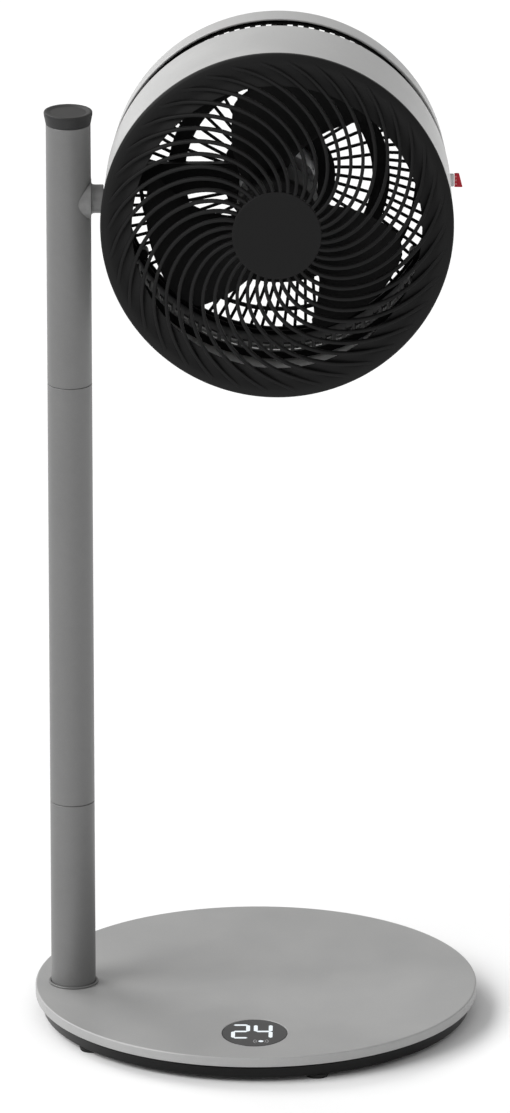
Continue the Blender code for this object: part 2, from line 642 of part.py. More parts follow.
def build_pole(materials, swing):
    """Make the socket, the three tubes with their couplers, the foot ring and the cap."""
    flange_top = PLATE_UNDERSIDE - GAP
    spigot_top = flange_top + SOCKET_HEIGHT
    outline = [(SOCKET_BORE_RADIUS, SOCKET_BOTTOM), (SOCKET_FLANGE_RADIUS, SOCKET_BOTTOM),
               (SOCKET_FLANGE_RADIUS, flange_top), (PLUG_RADIUS, flange_top), (PLUG_RADIUS, spigot_top),
               (SOCKET_BORE_RADIUS, spigot_top)]
    socket = turned("pole_socket", outline, COARSE, materials["cast_iron"], swing, (POLE_X, 0, 0))
    offsets = [polar(POLE_SCREW_CIRCLE, angle) for angle in spread(SCREW_COUNT)]
    places = [(POLE_X + x, y) for x, y in offsets]
    holes = [circle_points(place, SCREW_RADIUS + GAP, SMALL) for place in places]
    cut(socket, prisms("socket_screw_holes", holes, SOCKET_BOTTOM - 0.001, flange_top + 0.001, swing))
    for index, place in enumerate(places, start=1):
        screw(f"pole_screw_{index}", place, SOCKET_BOTTOM - GAP, PLATE_UNDERSIDE + SCREW_BITE,
              materials["steel"], swing)

    paint = materials["pole_paint"]
    half = GAP / 2
    tube("lower_tube", flange_top + GAP, LOWER_TUBE_TOP - half, POLE_RADIUS, TUBE_WALL, paint, swing)
    tube("middle_tube", LOWER_TUBE_TOP + half, MIDDLE_TUBE_TOP - half, POLE_RADIUS, TUBE_WALL, paint,
         swing)
    upper = tube("upper_tube", MIDDLE_TUBE_TOP + half, POLE_TOP, POLE_RADIUS, TUBE_WALL, paint, swing)
    hole = [(0, 0), (TILT_BORE_RADIUS, 0), (TILT_BORE_RADIUS, 2 * POLE_RADIUS), (0, 2 * POLE_RADIUS)]
    cut(upper, turned("tube_arm_hole", hole, SMALL + 4, None, swing, (POLE_X, 0, ARM_HEIGHT),
                      (0, math.radians(90), 0)))
    for name, seam in (("coupler_lower", LOWER_TUBE_TOP), ("coupler_upper", MIDDLE_TUBE_TOP)):
        tube(name, seam - COUPLER_HALF_LENGTH, seam + COUPLER_HALF_LENGTH, PLUG_RADIUS, COUPLER_WALL,
             materials["steel"], swing)
    ring_bottom = PLATE_TOP + GAP
    tube("pole_ring", ring_bottom, ring_bottom + POLE_RING_HEIGHT, POLE_RADIUS + GAP + POLE_RING_WIDTH,
         POLE_RING_WIDTH, paint, swing)
    build_cap(materials, swing)
    return places


def build_cap(materials, swing):
    """Make the pole's flared cap with a dished top and a hollow plug inside the tube."""
    base = POLE_TOP + GAP
    top = base + CAP_HEIGHT
    inner = PLUG_RADIUS - COUPLER_WALL
    outline = [(inner, base - CAP_PLUG_LENGTH), (PLUG_RADIUS, base - CAP_PLUG_LENGTH),
               (PLUG_RADIUS, base), (POLE_RADIUS, base), (POLE_RADIUS + 0.0004, base + 0.0012),
               (CAP_RADIUS, top - 0.0022), (CAP_RADIUS - 0.0002, top - 0.0009),
               (CAP_RADIUS - 0.0012, top), (CAP_RADIUS - 0.0026, top - 0.0003),
               (0, top - 0.0009), (0, top - 0.0030), (inner, top - 0.0030)]
    turned("pole_cap", outline, COARSE, materials["black_plastic"], swing, (POLE_X, 0, 0))


# ---------------------------------------------------------------- tilt joint, fixed to the pole
def along_x(name, outline, segments, material, parent, origin_x, origin_z=ARM_HEIGHT):
    """Turn an outline about the tilt axis; its heights run along +X from origin_x."""
    return turned(name, outline, segments, material, parent, (origin_x, 0, origin_z),
                  (0, math.radians(90), 0))


def build_tilt_joint(materials, swing):
    """Make the anchor inside the pole, the hollow shaft, the flared arm, the washer and the nut."""
    pole_side = POLE_X + POLE_RADIUS
    head_seat = -0.0045
    anchor = [(0, -ANCHOR_HALF_LENGTH), (PLUG_RADIUS, -ANCHOR_HALF_LENGTH),
              (PLUG_RADIUS, ANCHOR_HALF_LENGTH), (0, ANCHOR_HALF_LENGTH)]
    anchor = turned("arm_anchor", anchor, COARSE, materials["cast_iron"], swing, (POLE_X, 0, ARM_HEIGHT))
    reach = 2 * POLE_RADIUS
    bore = [(0, head_seat - reach), (TILT_HEAD_RADIUS + 0.0006, head_seat - reach),
            (TILT_HEAD_RADIUS + 0.0006, head_seat), (TILT_BORE_RADIUS, head_seat),
            (TILT_BORE_RADIUS, reach), (0, reach)]
    cut(anchor, along_x("anchor_bore", bore, SMALL + 4, None, swing, POLE_X))

    shaft_end = HEAD_X - NUT_FACE + 0.001 - POLE_X
    seat = head_seat - GAP
    outline = [(TILT_SHAFT_BORE_RADIUS, seat - TILT_HEAD_LENGTH), (TILT_HEAD_RADIUS, seat - TILT_HEAD_LENGTH),
               (TILT_HEAD_RADIUS, seat), (TILT_SHAFT_RADIUS, seat), (TILT_SHAFT_RADIUS, shaft_end),
               (TILT_SHAFT_BORE_RADIUS, shaft_end)]
    along_x("tilt_shaft", outline, SMALL + 4, materials["steel"], swing, POLE_X)

    flare = ARM_RADIUS + ARM_FLARE
    shoulder = 0.0001
    end = ARM_END_X - pole_side
    outline = [(TILT_BORE_RADIUS, -flare * 0.75), (flare, -flare * 0.75), (flare, shoulder)]
    outline += fillet((flare, shoulder + ARM_FLARE), ARM_FLARE, 270, 180, 3)[1:]
    outline += [(ARM_RADIUS, end), (TILT_BORE_RADIUS, end)]
    arm = along_x("tilt_arm", outline, COARSE, materials["grey_paint"], swing, pole_side)
    saddle_radius = POLE_RADIUS + GAP
    saddle = circle_points((POLE_X, 0), saddle_radius, 2 * COARSE)
    cut(arm, prism("arm_saddle", saddle, ARM_HEIGHT - 2 * flare, ARM_HEIGHT + 2 * flare, parent=swing))

    inner = HEAD_X - BOSS_FACE + GAP
    outline = [(TILT_BORE_RADIUS, 0), (WASHER_RADIUS, 0), (WASHER_RADIUS, WASHER_THICKNESS),
               (TILT_BORE_RADIUS, WASHER_THICKNESS)]
    along_x("friction_washer", outline, COARSE, materials["white_plastic"], swing, inner)
    nut_start = inner + WASHER_THICKNESS + GAP
    outline = [(0, 0), (NUT_RADIUS, 0), (NUT_RADIUS, NUT_LENGTH), (0, NUT_LENGTH)]
    nut = along_x("tilt_nut", outline, 6, materials["steel"], swing, nut_start)
    bore = [(0, -0.001), (TILT_BORE_RADIUS, -0.001), (TILT_BORE_RADIUS, NUT_LENGTH + 0.001),
            (0, NUT_LENGTH + 0.001)]
    cut(nut, along_x("nut_bore", bore, SMALL + 4, None, swing, nut_start))


# ---------------------------------------------------------------- head shells
def build_front_shell(materials, tilt):
    """Make the grey front shell with its pivot boss inside the left wall."""
    inner_rear = SHELL_REAR_RADIUS - SHELL_WALL
    inner_front = SHELL_FRONT_RADIUS - SHELL_WALL
    outline = [(inner_rear, SHELL_REAR), (SHELL_REAR_RADIUS - 0.0006, SHELL_REAR),
               (SHELL_REAR_RADIUS, SHELL_REAR + 0.0006), (SHELL_FRONT_RADIUS, SHELL_FRONT - 0.001),
               (SHELL_FRONT_RADIUS - 0.0004, SHELL_FRONT), (inner_front, SHELL_FRONT)]
    shell = turned("front_shell", outline, FINE, materials["shell_paint"], tilt)
    wall_middle = SHELL_REAR_RADIUS - SHELL_WALL / 2
    boss = [(0, BOSS_FACE), (PIVOT_BOSS_RADIUS, BOSS_FACE), (PIVOT_BOSS_RADIUS, wall_middle),
            (0, wall_middle)]
    sideways = (0, math.radians(-90), 0)
    fuse(shell, turned("shell_boss", boss, COARSE, None, tilt, rotation=sideways))
    bore = [(0, BOSS_FACE - 0.002), (TILT_BORE_RADIUS, BOSS_FACE - 0.002),
            (TILT_BORE_RADIUS, SHELL_FRONT_RADIUS + 0.002), (0, SHELL_FRONT_RADIUS + 0.002)]
    cut(shell, turned("shell_bore", bore, SMALL + 4, None, tilt, rotation=sideways))


def build_rear_housing(materials, tilt):
    """Make the black housing: a tucked front ring, the slotted band and the wall inside the rear ring."""
    band_front = SHELL_REAR - 0.002
    outer = HOUSING_TUCK_RADIUS
    tuck_front = SHELL_REAR + HOUSING_TUCK_DEPTH
    outline = [(HOUSING_INNER_RADIUS, band_front), (outer, band_front), (outer, tuck_front),
               (HOUSING_INNER_RADIUS, tuck_front)]
    housing = turned("rear_housing", outline, FINE, materials["black_plastic"], tilt)
    bar_outer = SHELL_REAR_RADIUS - SLOT_BAR_RECESS
    bars = []
    for angle in spread(SLOT_BAR_COUNT, math.radians(1.2)):
        start = polar(bar_outer - SLOT_BAR_DEPTH, angle)
        bars.append(bar_outline(start, polar(bar_outer, angle), SLOT_BAR_WIDTH))
    fuse(housing, prisms("slot_bars", bars, BAND_REAR - 0.0025, band_front + 0.0012, tilt))
    outline = [(HOUSING_INNER_RADIUS, HOUSING_REAR), (HOUSING_REAR_RADIUS, HOUSING_REAR),
               (HOUSING_REAR_RADIUS, BAND_REAR - 0.001), (HOUSING_INNER_RADIUS, BAND_REAR - 0.001)]
    fuse(housing, turned("housing_wall", outline, FINE, None, tilt))
    places = [polar(HOUSING_SCREW_CIRCLE, angle) for angle in spread(SCREW_COUNT, math.radians(90))]
    bosses = [circle_points(place, HOUSING_BOSS_RADIUS, SMALL) for place in places]
    fuse(housing, prisms("housing_bosses", bosses, HOUSING_REAR, HOUSING_REAR + HOUSING_BOSS_LENGTH,
                         tilt))
    holes = [circle_points(place, SCREW_RADIUS + GAP, SMALL) for place in places]
    cut(housing, prisms("housing_screw_holes", holes, HOUSING_REAR - 0.001,
                        HOUSING_REAR + HOUSING_BOSS_LENGTH - 0.002, tilt))
    return places


def build_rear_ring(materials, tilt):
    """Make the grey ring round the back of the head, with a rounded rear edge."""
    inner = REAR_RING_RADIUS - REAR_RING_WALL
    lip = inner - 0.0012
    front = BAND_REAR - GAP
    thin = REAR_RING_RADIUS - RING_LIP_WALL
    shelf = front - RING_LIP_DEPTH
    outline = [(inner, shelf), (thin, shelf), (thin, front), (REAR_RING_RADIUS - 0.0004, front),
               (REAR_RING_RADIUS, front - 0.0005),
               (REAR_RING_RADIUS - 0.0018, HEAD_REAR + 0.005),
               (REAR_RING_RADIUS - 0.0031, HEAD_REAR + 0.0013), (inner - 0.0002, HEAD_REAR),
               (lip, HEAD_REAR), (lip, HEAD_REAR + 0.0025), (inner, HEAD_REAR + 0.0035)]
    turned("rear_ring", outline, FINE, materials["shell_paint"], tilt)


def rear_bars(count, inner, outer):
    """Return the outlines of one zone of the rear grille's slanted bars."""
    bars = []
    for angle in spread(count):
        end_angle = angle + REAR_BAR_SLANT * (outer - inner) / REAR_GRILLE_RADIUS
        bars.append(bar_outline(polar(inner, angle), polar(outer, end_angle), REAR_BAR_WIDTH))
    return bars


def build_rear_grille(materials, tilt, housing_places):
    """Make the rear grille: rim, hoop and hub disc, joined by slanted bars."""
    low = REAR_GRILLE_FACE
    high = REAR_GRILLE_FRONT
    rim_inner = REAR_GRILLE_RADIUS - REAR_GRILLE_RIM_WIDTH
    outline = [(rim_inner, low), (REAR_GRILLE_RADIUS, low), (REAR_GRILLE_RADIUS, high), (rim_inner, high)]
    grille = turned("rear_grille", outline, FINE, materials["black_plastic"], tilt)
    middle = (low + high) / 2
    half = REAR_BAR_DEPTH / 2
    bite = min(REAR_BAR_BITE, REAR_GRILLE_RIM_WIDTH * 0.6)
    hoop_inner = REAR_HOOP_RADIUS - REAR_HOOP_WIDTH / 2
    hoop_outer = REAR_HOOP_RADIUS + REAR_HOOP_WIDTH / 2
    bars = rear_bars(REAR_OUTER_BAR_COUNT, hoop_outer - bite, rim_inner + bite)
    bars += rear_bars(REAR_INNER_BAR_COUNT, REAR_HUB_RADIUS - bite, hoop_inner + bite)
    fuse(grille, prisms("rear_bars", bars, middle - half, middle + half, tilt))
    hoop = [(hoop_inner, middle - half - 0.0002), (hoop_outer, middle - half - 0.0002),
            (hoop_outer, middle + half + 0.0002), (hoop_inner, middle + half + 0.0002)]
    fuse(grille, turned("rear_hoop", hoop, MEDIUM, None, tilt))
    hoop_inner = OUTER_HOOP_RADIUS - OUTER_HOOP_WIDTH / 2
    hoop_outer = OUTER_HOOP_RADIUS + OUTER_HOOP_WIDTH / 2
    hoop = [(hoop_inner, middle - half - 0.0002), (hoop_outer, middle - half - 0.0002),
            (hoop_outer, middle + half + 0.0002), (hoop_inner, middle + half + 0.0002)]
    fuse(grille, turned("rear_outer_hoop", hoop, MEDIUM, None, tilt))
    lugs = [circle_points(place, REAR_LUG_RADIUS, SMALL) for place in housing_places]
    fuse(grille, prisms("grille_lugs", lugs, low, high, tilt))
    bore = SHAFT_BORE_RADIUS + 0.001
    outline = [(bore, low), (REAR_HUB_RADIUS, low), (REAR_HUB_RADIUS, high), (bore, high)]
    fuse(grille, turned("rear_hub", outline, MEDIUM, None, tilt))
    motor_places = [polar(MOTOR_SCREW_CIRCLE, angle) for angle in spread(SCREW_COUNT, math.radians(30))]
    holes = [circle_points(place, SCREW_RADIUS + GAP, SMALL) for place in motor_places + housing_places]
    cut(grille, prisms("grille_screw_holes", holes, low - 0.001, high + 0.001, tilt))
    for index, place in enumerate(housing_places, start=1):
        screw(f"housing_screw_{index}", place, low - GAP, HOUSING_REAR + 0.008, materials["steel"], tilt)
    for index, place in enumerate(motor_places, start=1):
        screw(f"motor_screw_{index}", place, low - GAP, MOTOR_REAR + MOTOR_FLOOR - GAP,
              materials["steel"], tilt)
    return motor_places


def build_cable_duct(materials, tilt):
    """Make the channel that takes the motor's lead across the rear grille to the tilt joint."""
    half = DUCT_WIDTH / 2
    low = REAR_GRILLE_FRONT + GAP
    high = low + DUCT_DEPTH
    outline = [(low, -half), (high, -half), (high, half), (low, half), (low, half - DUCT_WALL),
               (high - DUCT_WALL, half - DUCT_WALL), (high - DUCT_WALL, -half + DUCT_WALL),
               (low, -half + DUCT_WALL)]
    start = MOTOR_RADIUS + 2 * GAP
    end = math.sqrt((HOUSING_INNER_RADIUS - 0.001) ** 2 - half ** 2) - 0.003
    outline = [(-depth, side) for depth, side in outline]
    prism("cable_duct", outline, -end, -start, materials["black_plastic"], tilt,
          rotation=(0, math.radians(90), 0))


# ---------------------------------------------------------------- front grille
def dome_height(radius):
    """Return the front grille's height along the head's axis at a radius."""
    share = (radius - GRILLE_HUB_RADIUS) / (GRILLE_RIM_INNER - GRILLE_HUB_RADIUS)
    rim_height = RING_FORWARD + RIM_THICKNESS
    hub_height = RING_FORWARD + GRILLE_DOME
    return hub_height - (hub_height - rim_height) * max(0.0, share) ** DOME_POWER


def rib_turn(radius):
    """Return how far a rib has swept round at a radius."""
    share = (radius - GRILLE_HUB_RADIUS) / (RING_RADIUS - GRILLE_HUB_RADIUS)
    return RIB_SWEEP * max(0.0, share) ** RIB_SWEEP_POWER


def rib_half_angle(radius):
    """Return half a rib's angle at a radius, for a constant width square to the rib."""
    step = 0.0005
    slope = radius * (rib_turn(radius + step) - rib_turn(radius)) / step
    return RIB_WIDTH / 2 * math.sqrt(1 + slope * slope) / radius


def grille_stations():
    """Return the grille's section as (front point, back point, radius for the turn, solid after)."""
    stations = []
    for step in range(RIB_STEPS + 1):
        radius = GRILLE_HUB_RADIUS + (GRILLE_RIM_INNER - GRILLE_HUB_RADIUS) * step / RIB_STEPS
        height = dome_height(radius)
        stations.append(((radius, height), (radius, height - RIB_DEPTH), radius, False))
    stations[-1] = (*stations[-1][:3], True)
    seat = RING_FORWARD - RIM_THICKNESS
    lip_outer = SHELL_FRONT_RADIUS - SHELL_WALL - 2 * GAP
    rim = [((RING_RADIUS - 0.006, RING_FORWARD + 0.0030), (lip_outer - 0.002, seat - LIP_DEPTH)),
           ((RING_RADIUS - 0.0012, RING_FORWARD + 0.0012), (lip_outer, seat - LIP_DEPTH)),
           ((RING_RADIUS, RING_FORWARD), (lip_outer + 0.0001, seat)),
           ((RING_RADIUS, seat + 0.0005), (RING_RADIUS - 0.0002, seat))]
    for front, back in rim:
        stations.append((front, back, GRILLE_RIM_INNER, True))
    return stations


def build_front_grille(materials, tilt):
    """Make the spiral grille in one piece: hub disc, ribs and rim share one sheet of cells."""
    stations = grille_stations()
    mesh = bmesh.new()
    front = []
    back = []
    for (front_radius, front_height), (back_radius, back_height), turn_radius, _ in stations:
        half = rib_half_angle(turn_radius)
        turn = rib_turn(turn_radius)
        angles = []
        for centre in spread(RIB_COUNT, turn):
            angles += [centre - half, centre + half]
        front.append([mesh.verts.new((*polar(front_radius, a), front_height)) for a in angles])
        back.append([mesh.verts.new((*polar(back_radius, a), back_height)) for a in angles])
    count = 2 * RIB_COUNT
    for row in range(len(stations) - 1):
        solid = stations[row][3]
        for column in range(count):
            after = (column + 1) % count
            is_rib = column % 2 == 0
            if solid or is_rib:
                mesh.faces.new((front[row][column], front[row][after],
                                front[row + 1][after], front[row + 1][column]))
                mesh.faces.new((back[row][column], back[row][after],
                                back[row + 1][after], back[row + 1][column]))
            if not solid:
                mesh.faces.new((front[row][column], front[row + 1][column],
                                back[row + 1][column], back[row][column]))
    rim_row = RIB_STEPS
    for column in range(count):
        after = (column + 1) % count
        if column % 2 == 1:
            for row in (0, rim_row):
                mesh.faces.new((front[row][column], front[row][after], back[row][after],
                                back[row][column]))
        mesh.faces.new((front[-1][column], front[-1][after], back[-1][after], back[-1][column]))
    for ring in (front[0], back[0]):
        centre = mesh.verts.new((0, 0, ring[0].co.z))
        join_rings(mesh, ring, [centre])
    finish_object("front_grille", mesh, materials["black_plastic"], tilt, (0, 0, 0), (0, 0, 0))


# ---------------------------------------------------------------- motor
def build_motor(materials, tilt, spin, screw_places):
    """Make the motor: can, end plate, two bearings, stator, rotor and shaft, and the rear cover."""
    inner = MOTOR_RADIUS - MOTOR_WALL
    floor = MOTOR_REAR + MOTOR_FLOOR
    seat = BEARING_BORE_RADIUS + BEARING_SEAT_WALL
    seat_top = floor + BEARING_LENGTH
    outline = [(0, MOTOR_REAR), (MOTOR_RADIUS, MOTOR_REAR), (MOTOR_RADIUS, MOTOR_FRONT),
               (inner, MOTOR_FRONT), (inner, floor), (seat, floor), (seat, seat_top),
               (BEARING_BORE_RADIUS, seat_top), (BEARING_BORE_RADIUS, floor), (0, floor)]
    can = turned("motor_can", outline, COARSE, materials["steel"], tilt)
    holes = [circle_points(place, SCREW_RADIUS + GAP, SMALL) for place in screw_places]
    cut(can, prisms("can_screw_holes", holes, MOTOR_REAR - 0.001, floor + 0.001, tilt))

    plate_low = MOTOR_FRONT + GAP
    plate_high = plate_low + END_PLATE_THICKNESS
    front_seat = plate_low - BEARING_LENGTH
    bore = SHAFT_BORE_RADIUS + 0.001
    outline = [(BEARING_BORE_RADIUS, front_seat), (seat, front_seat), (seat, plate_low),
               (MOTOR_RADIUS, plate_low), (MOTOR_RADIUS, plate_high), (bore, plate_high),
               (bore, plate_low + GAP), (BEARING_BORE_RADIUS, plate_low + GAP)]
    turned("motor_end_plate", outline, COARSE, materials["steel"], tilt)

    for name, low in (("bearing_rear", floor + GAP), ("bearing_front", front_seat)):
        high = low + BEARING_LENGTH - GAP
        outline = [(SHAFT_BORE_RADIUS, low), (BEARING_RADIUS, low), (BEARING_RADIUS, high),
                   (SHAFT_BORE_RADIUS, high)]
        turned(name, outline, COARSE, materials["steel"], tilt)

    middle = (seat_top + front_seat) / 2
    stator_outer = inner - GAP
    stator_inner = stator_outer - STATOR_DEPTH
    half = STATOR_LENGTH / 2
    outline = [(stator_inner, middle - half), (stator_outer, middle - half),
               (stator_outer, middle + half), (stator_inner, middle + half)]
    turned("motor_stator", outline, COARSE, materials["copper"], tilt)
    half = (front_seat - seat_top) / 2 - 0.0015
    outline = [(SHAFT_BORE_RADIUS, middle - half), (stator_inner - 0.0006, middle - half),
               (stator_inner - 0.0006, middle + half), (SHAFT_BORE_RADIUS, middle + half)]
    turned("motor_rotor", outline, COARSE, materials["cast_iron"], spin)
    shaft_low = floor + 2 * GAP
    shaft_high = PROPELLER_FRONT + PROPELLER_NUT_LENGTH * 0.7
    outline = [(0, shaft_low), (MOTOR_SHAFT_RADIUS, shaft_low), (MOTOR_SHAFT_RADIUS, shaft_high),
               (0, shaft_high)]
    turned("motor_shaft", outline, SMALL + 4, materials["steel"], spin)

    face = REAR_GRILLE_FACE - GAP
    radius = REAR_HUB_RADIUS - 0.001
    roof = HEAD_REAR + MOTOR_COVER_WALL
    wall = MOTOR_COVER_WALL
    outline = [(radius - wall, face), (radius, face), (radius - 0.0005, HEAD_REAR + 0.0014),
               (radius - 0.0030, HEAD_REAR), (0, HEAD_REAR), (0, roof), (radius - wall - 0.0015, roof)]
    turned("motor_cover", outline, COARSE, materials["black_plastic"], tilt)


# ---------------------------------------------------------------- propeller
def blade_point(across, along):
    """Return a point on the first blade; both shares run from 0 to 1, rear edge and root first."""
    root = PROPELLER_HUB_RADIUS - PROPELLER_HUB_WALL * 0.6
    radius = root + (BLADE_TIP_RADIUS - root) * along
    half = BLADE_HALF_ANGLE_ROOT + (BLADE_HALF_ANGLE_TIP - BLADE_HALF_ANGLE_ROOT) * along
    rise = BLADE_HALF_RISE_ROOT + (BLADE_HALF_RISE_TIP - BLADE_HALF_RISE_ROOT) * along
    side = 2 * across - 1
    camber = 0.15 * rise * (1 - side * side)
    angle = BLADE_SWEEP * along + half * side
    return radius, angle, PROPELLER_REAR + PROPELLER_LENGTH * 0.46 + rise * side + camber


def build_propeller(materials, spin):
    """Make the propeller: a hollow hub with an inner boss, and three wide blades."""
    front = PROPELLER_FRONT
    inner = PROPELLER_HUB_RADIUS - PROPELLER_HUB_WALL
    boss_rear = PROPELLER_REAR + PROPELLER_LENGTH * 0.3
    roof = front - 0.006
    outline = [(SHAFT_BORE_RADIUS, boss_rear), (PROPELLER_BOSS_RADIUS, boss_rear),
               (PROPELLER_BOSS_RADIUS, roof), (inner - 0.001, roof - 0.002), (inner, roof - 0.004),
               (inner, PROPELLER_REAR), (PROPELLER_HUB_RADIUS, PROPELLER_REAR),
               (PROPELLER_HUB_RADIUS, roof - 0.001), (PROPELLER_HUB_RADIUS - 0.0025, roof + 0.003),
               (PROPELLER_HUB_RADIUS - 0.010, front - 0.0005), (SHAFT_BORE_RADIUS, front)]
    hub = turned("propeller", outline, MEDIUM, materials["black_plastic"], spin)

    columns = 7
    rows = 3
    mesh = bmesh.new()
    for turn in spread(BLADE_COUNT, BLADE_FIRST_ANGLE):
        grid = []
        for row in range(rows + 1):
            line = []
            for column in range(columns + 1):
                radius, angle, height = blade_point(column / columns, row / rows)
                line.append(mesh.verts.new((*polar(radius, angle + turn), height)))
            grid.append(line)
        for row in range(rows):
            for column in range(columns):
                mesh.faces.new((grid[row][column], grid[row][column + 1],
                                grid[row + 1][column + 1], grid[row + 1][column]))
    blades = finish_object("blades", mesh, None, spin, (0, 0, 0), (0, 0, 0))
    thickness = blades.modifiers.new("thickness", "SOLIDIFY")
    thickness.thickness = BLADE_THICKNESS
    thickness.offset = 0.0
    fuse(hub, blades)

    low = front + GAP
    high = low + PROPELLER_NUT_LENGTH
    bore_top = low + PROPELLER_NUT_LENGTH * 0.75
    outline = [(SHAFT_BORE_RADIUS, low), (PROPELLER_NUT_RADIUS, low),
               (PROPELLER_NUT_RADIUS, low + 0.004), (PROPELLER_NUT_RADIUS * 0.75, high - 0.001),
               (PROPELLER_NUT_RADIUS * 0.45, high), (0, high), (0, bore_top),
               (SHAFT_BORE_RADIUS, bore_top)]
    turned("propeller_nut", outline, COARSE, materials["black_plastic"], spin)


# ---------------------------------------------------------------- tab on the rear ring
def build_tab(materials, tilt):
    """Make the small clip on the rear ring and the red fabric tab that it holds."""
    start = REAR_RING_RADIUS + GAP
    end = start + CLIP_LENGTH
    outline = [(start, -CLIP_HALF_HEIGHT), (end, -CLIP_HALF_HEIGHT), (end, CLIP_HALF_HEIGHT),
               (start, CLIP_HALF_HEIGHT)]
    prism("tab_clip", outline, -TAB_BACK - CLIP_THICKNESS / 2, -TAB_BACK + CLIP_THICKNESS / 2,
          materials["shell_paint"], tilt)
    near = end + GAP
    half = TAB_HEIGHT / 2
    outline = [(near, -half), (near + TAB_WIDTH, -half), (near + TAB_TOP_WIDTH, half), (near, half)]
    prism("red_tab", outline, -TAB_BACK - TAB_THICKNESS / 2, -TAB_BACK + TAB_THICKNESS / 2,
          materials["red_fabric"], tilt)


# ---------------------------------------------------------------- assembly
def clear_scene():
    """Remove every object that the file opened with."""
    for item in list(bpy.data.objects):
        bpy.data.objects.remove(item, do_unlink=True)


def build():
    """Build the whole circulator."""
    clear_scene()
    materials = make_materials()
    swing = axis_empty("swing_axis")
    tilt = axis_empty("tilt_axis", swing, (HEAD_X, 0, ARM_HEIGHT), (math.pi / 2 - REST_TILT, 0, 0))
    spin = axis_empty("spin_axis", tilt)

    build_fixed_base(materials)
    build_pinion(materials)
    hub_places = build_swing_table(materials, swing)
    pole_places = build_pole(materials, swing)
    build_top_plate(materials, swing, hub_places + pole_places)
    build_display(materials, swing)
    build_tilt_joint(materials, swing)

    build_front_shell(materials, tilt)
    housing_places = build_rear_housing(materials, tilt)
    build_rear_ring(materials, tilt)
    motor_places = build_rear_grille(materials, tilt, housing_places)
    build_cable_duct(materials, tilt)
    build_front_grille(materials, tilt)
    build_motor(materials, tilt, spin, motor_places)
    build_propeller(materials, spin)
    build_tab(materials, tilt)


build()
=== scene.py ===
"""Looks of a pedestal air circulator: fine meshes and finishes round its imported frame.

Everything is in metres, +Z up, the front towards -Y. The head's pieces are made in the head's own
space: X to the right, Y up and Z forward along the propeller's axis, with the tilt axis through
its origin.
"""
import json
import math

import bmesh
import bpy
from bpy.props import FloatProperty, FloatVectorProperty, IntProperty, PointerProperty, StringProperty
from mathutils import Matrix, Vector


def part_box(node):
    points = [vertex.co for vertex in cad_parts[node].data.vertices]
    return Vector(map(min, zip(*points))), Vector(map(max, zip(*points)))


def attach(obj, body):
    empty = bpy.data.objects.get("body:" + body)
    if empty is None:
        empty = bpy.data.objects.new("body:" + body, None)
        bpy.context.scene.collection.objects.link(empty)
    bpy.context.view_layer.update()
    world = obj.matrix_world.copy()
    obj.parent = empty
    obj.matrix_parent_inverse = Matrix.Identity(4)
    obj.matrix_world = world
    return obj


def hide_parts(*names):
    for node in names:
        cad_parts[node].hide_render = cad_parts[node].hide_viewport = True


bl_info = {
    "name": "Pedestal Air Circulator",
    "version": (1, 0, 0),
    "blender": (4, 5, 0),
    "location": "3D View > Sidebar > Circulator",
    "description": "Builds the looks of a pedestal air circulator round its frame",
    "category": "Object",
}

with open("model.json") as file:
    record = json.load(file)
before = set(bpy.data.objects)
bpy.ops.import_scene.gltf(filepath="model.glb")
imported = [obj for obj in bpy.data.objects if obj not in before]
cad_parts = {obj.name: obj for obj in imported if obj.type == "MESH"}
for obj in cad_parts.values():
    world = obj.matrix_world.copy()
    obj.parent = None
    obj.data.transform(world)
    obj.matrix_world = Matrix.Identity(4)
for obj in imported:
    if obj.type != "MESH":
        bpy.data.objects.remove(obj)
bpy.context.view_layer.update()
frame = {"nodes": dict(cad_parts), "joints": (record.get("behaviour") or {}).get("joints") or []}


# ---------------------------------------------------------------- places read from the frame
class Span:
    """How far a node of the frame reaches along and round the Z axis of a place."""

    def __init__(self, node, place):
        back = place.inverted()
        points = [back @ vertex.co for vertex in frame["nodes"][node].data.vertices]
        radii = [math.hypot(point.x, point.y) for point in points]
        self.points = points
        self.low = min(point.z for point in points)
        self.high = max(point.z for point in points)
        self.inner = min(radii)
        self.outer = max(radii)
        self.first = Vector(min(point[axis] for point in points) for axis in range(3))
        self.last = Vector(max(point[axis] for point in points) for axis in range(3))
        self.middle = (self.first + self.last) / 2


def joint(name):
    """Return the frame's row for a joint."""
    return next(row for row in frame["joints"] if row["name"] == name)


def axis_place(origin, forward, side):
    """Return the matrix of a space whose Z runs along forward and whose X runs along side."""
    up = forward.cross(side)
    turn = Matrix((side, up, forward)).transposed().to_4x4()
    return Matrix.Translation(origin) @ turn


FLOOR = Matrix.Identity(4)
TILT_POINT = Vector(joint("head_tilt")["pos_m"])
HEAD = axis_place(TILT_POINT, Vector(joint("fan_spin")["axis"]).normalized(), Vector((1, 0, 0)))
ARM = axis_place(TILT_POINT, Vector((1, 0, 0)), Vector((0, 0, -1)))
POLE_CENTRE = sum(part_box("middle_tube"), Vector()) / 2
POLE = Matrix.Translation((POLE_CENTRE.x, POLE_CENTRE.y, 0))

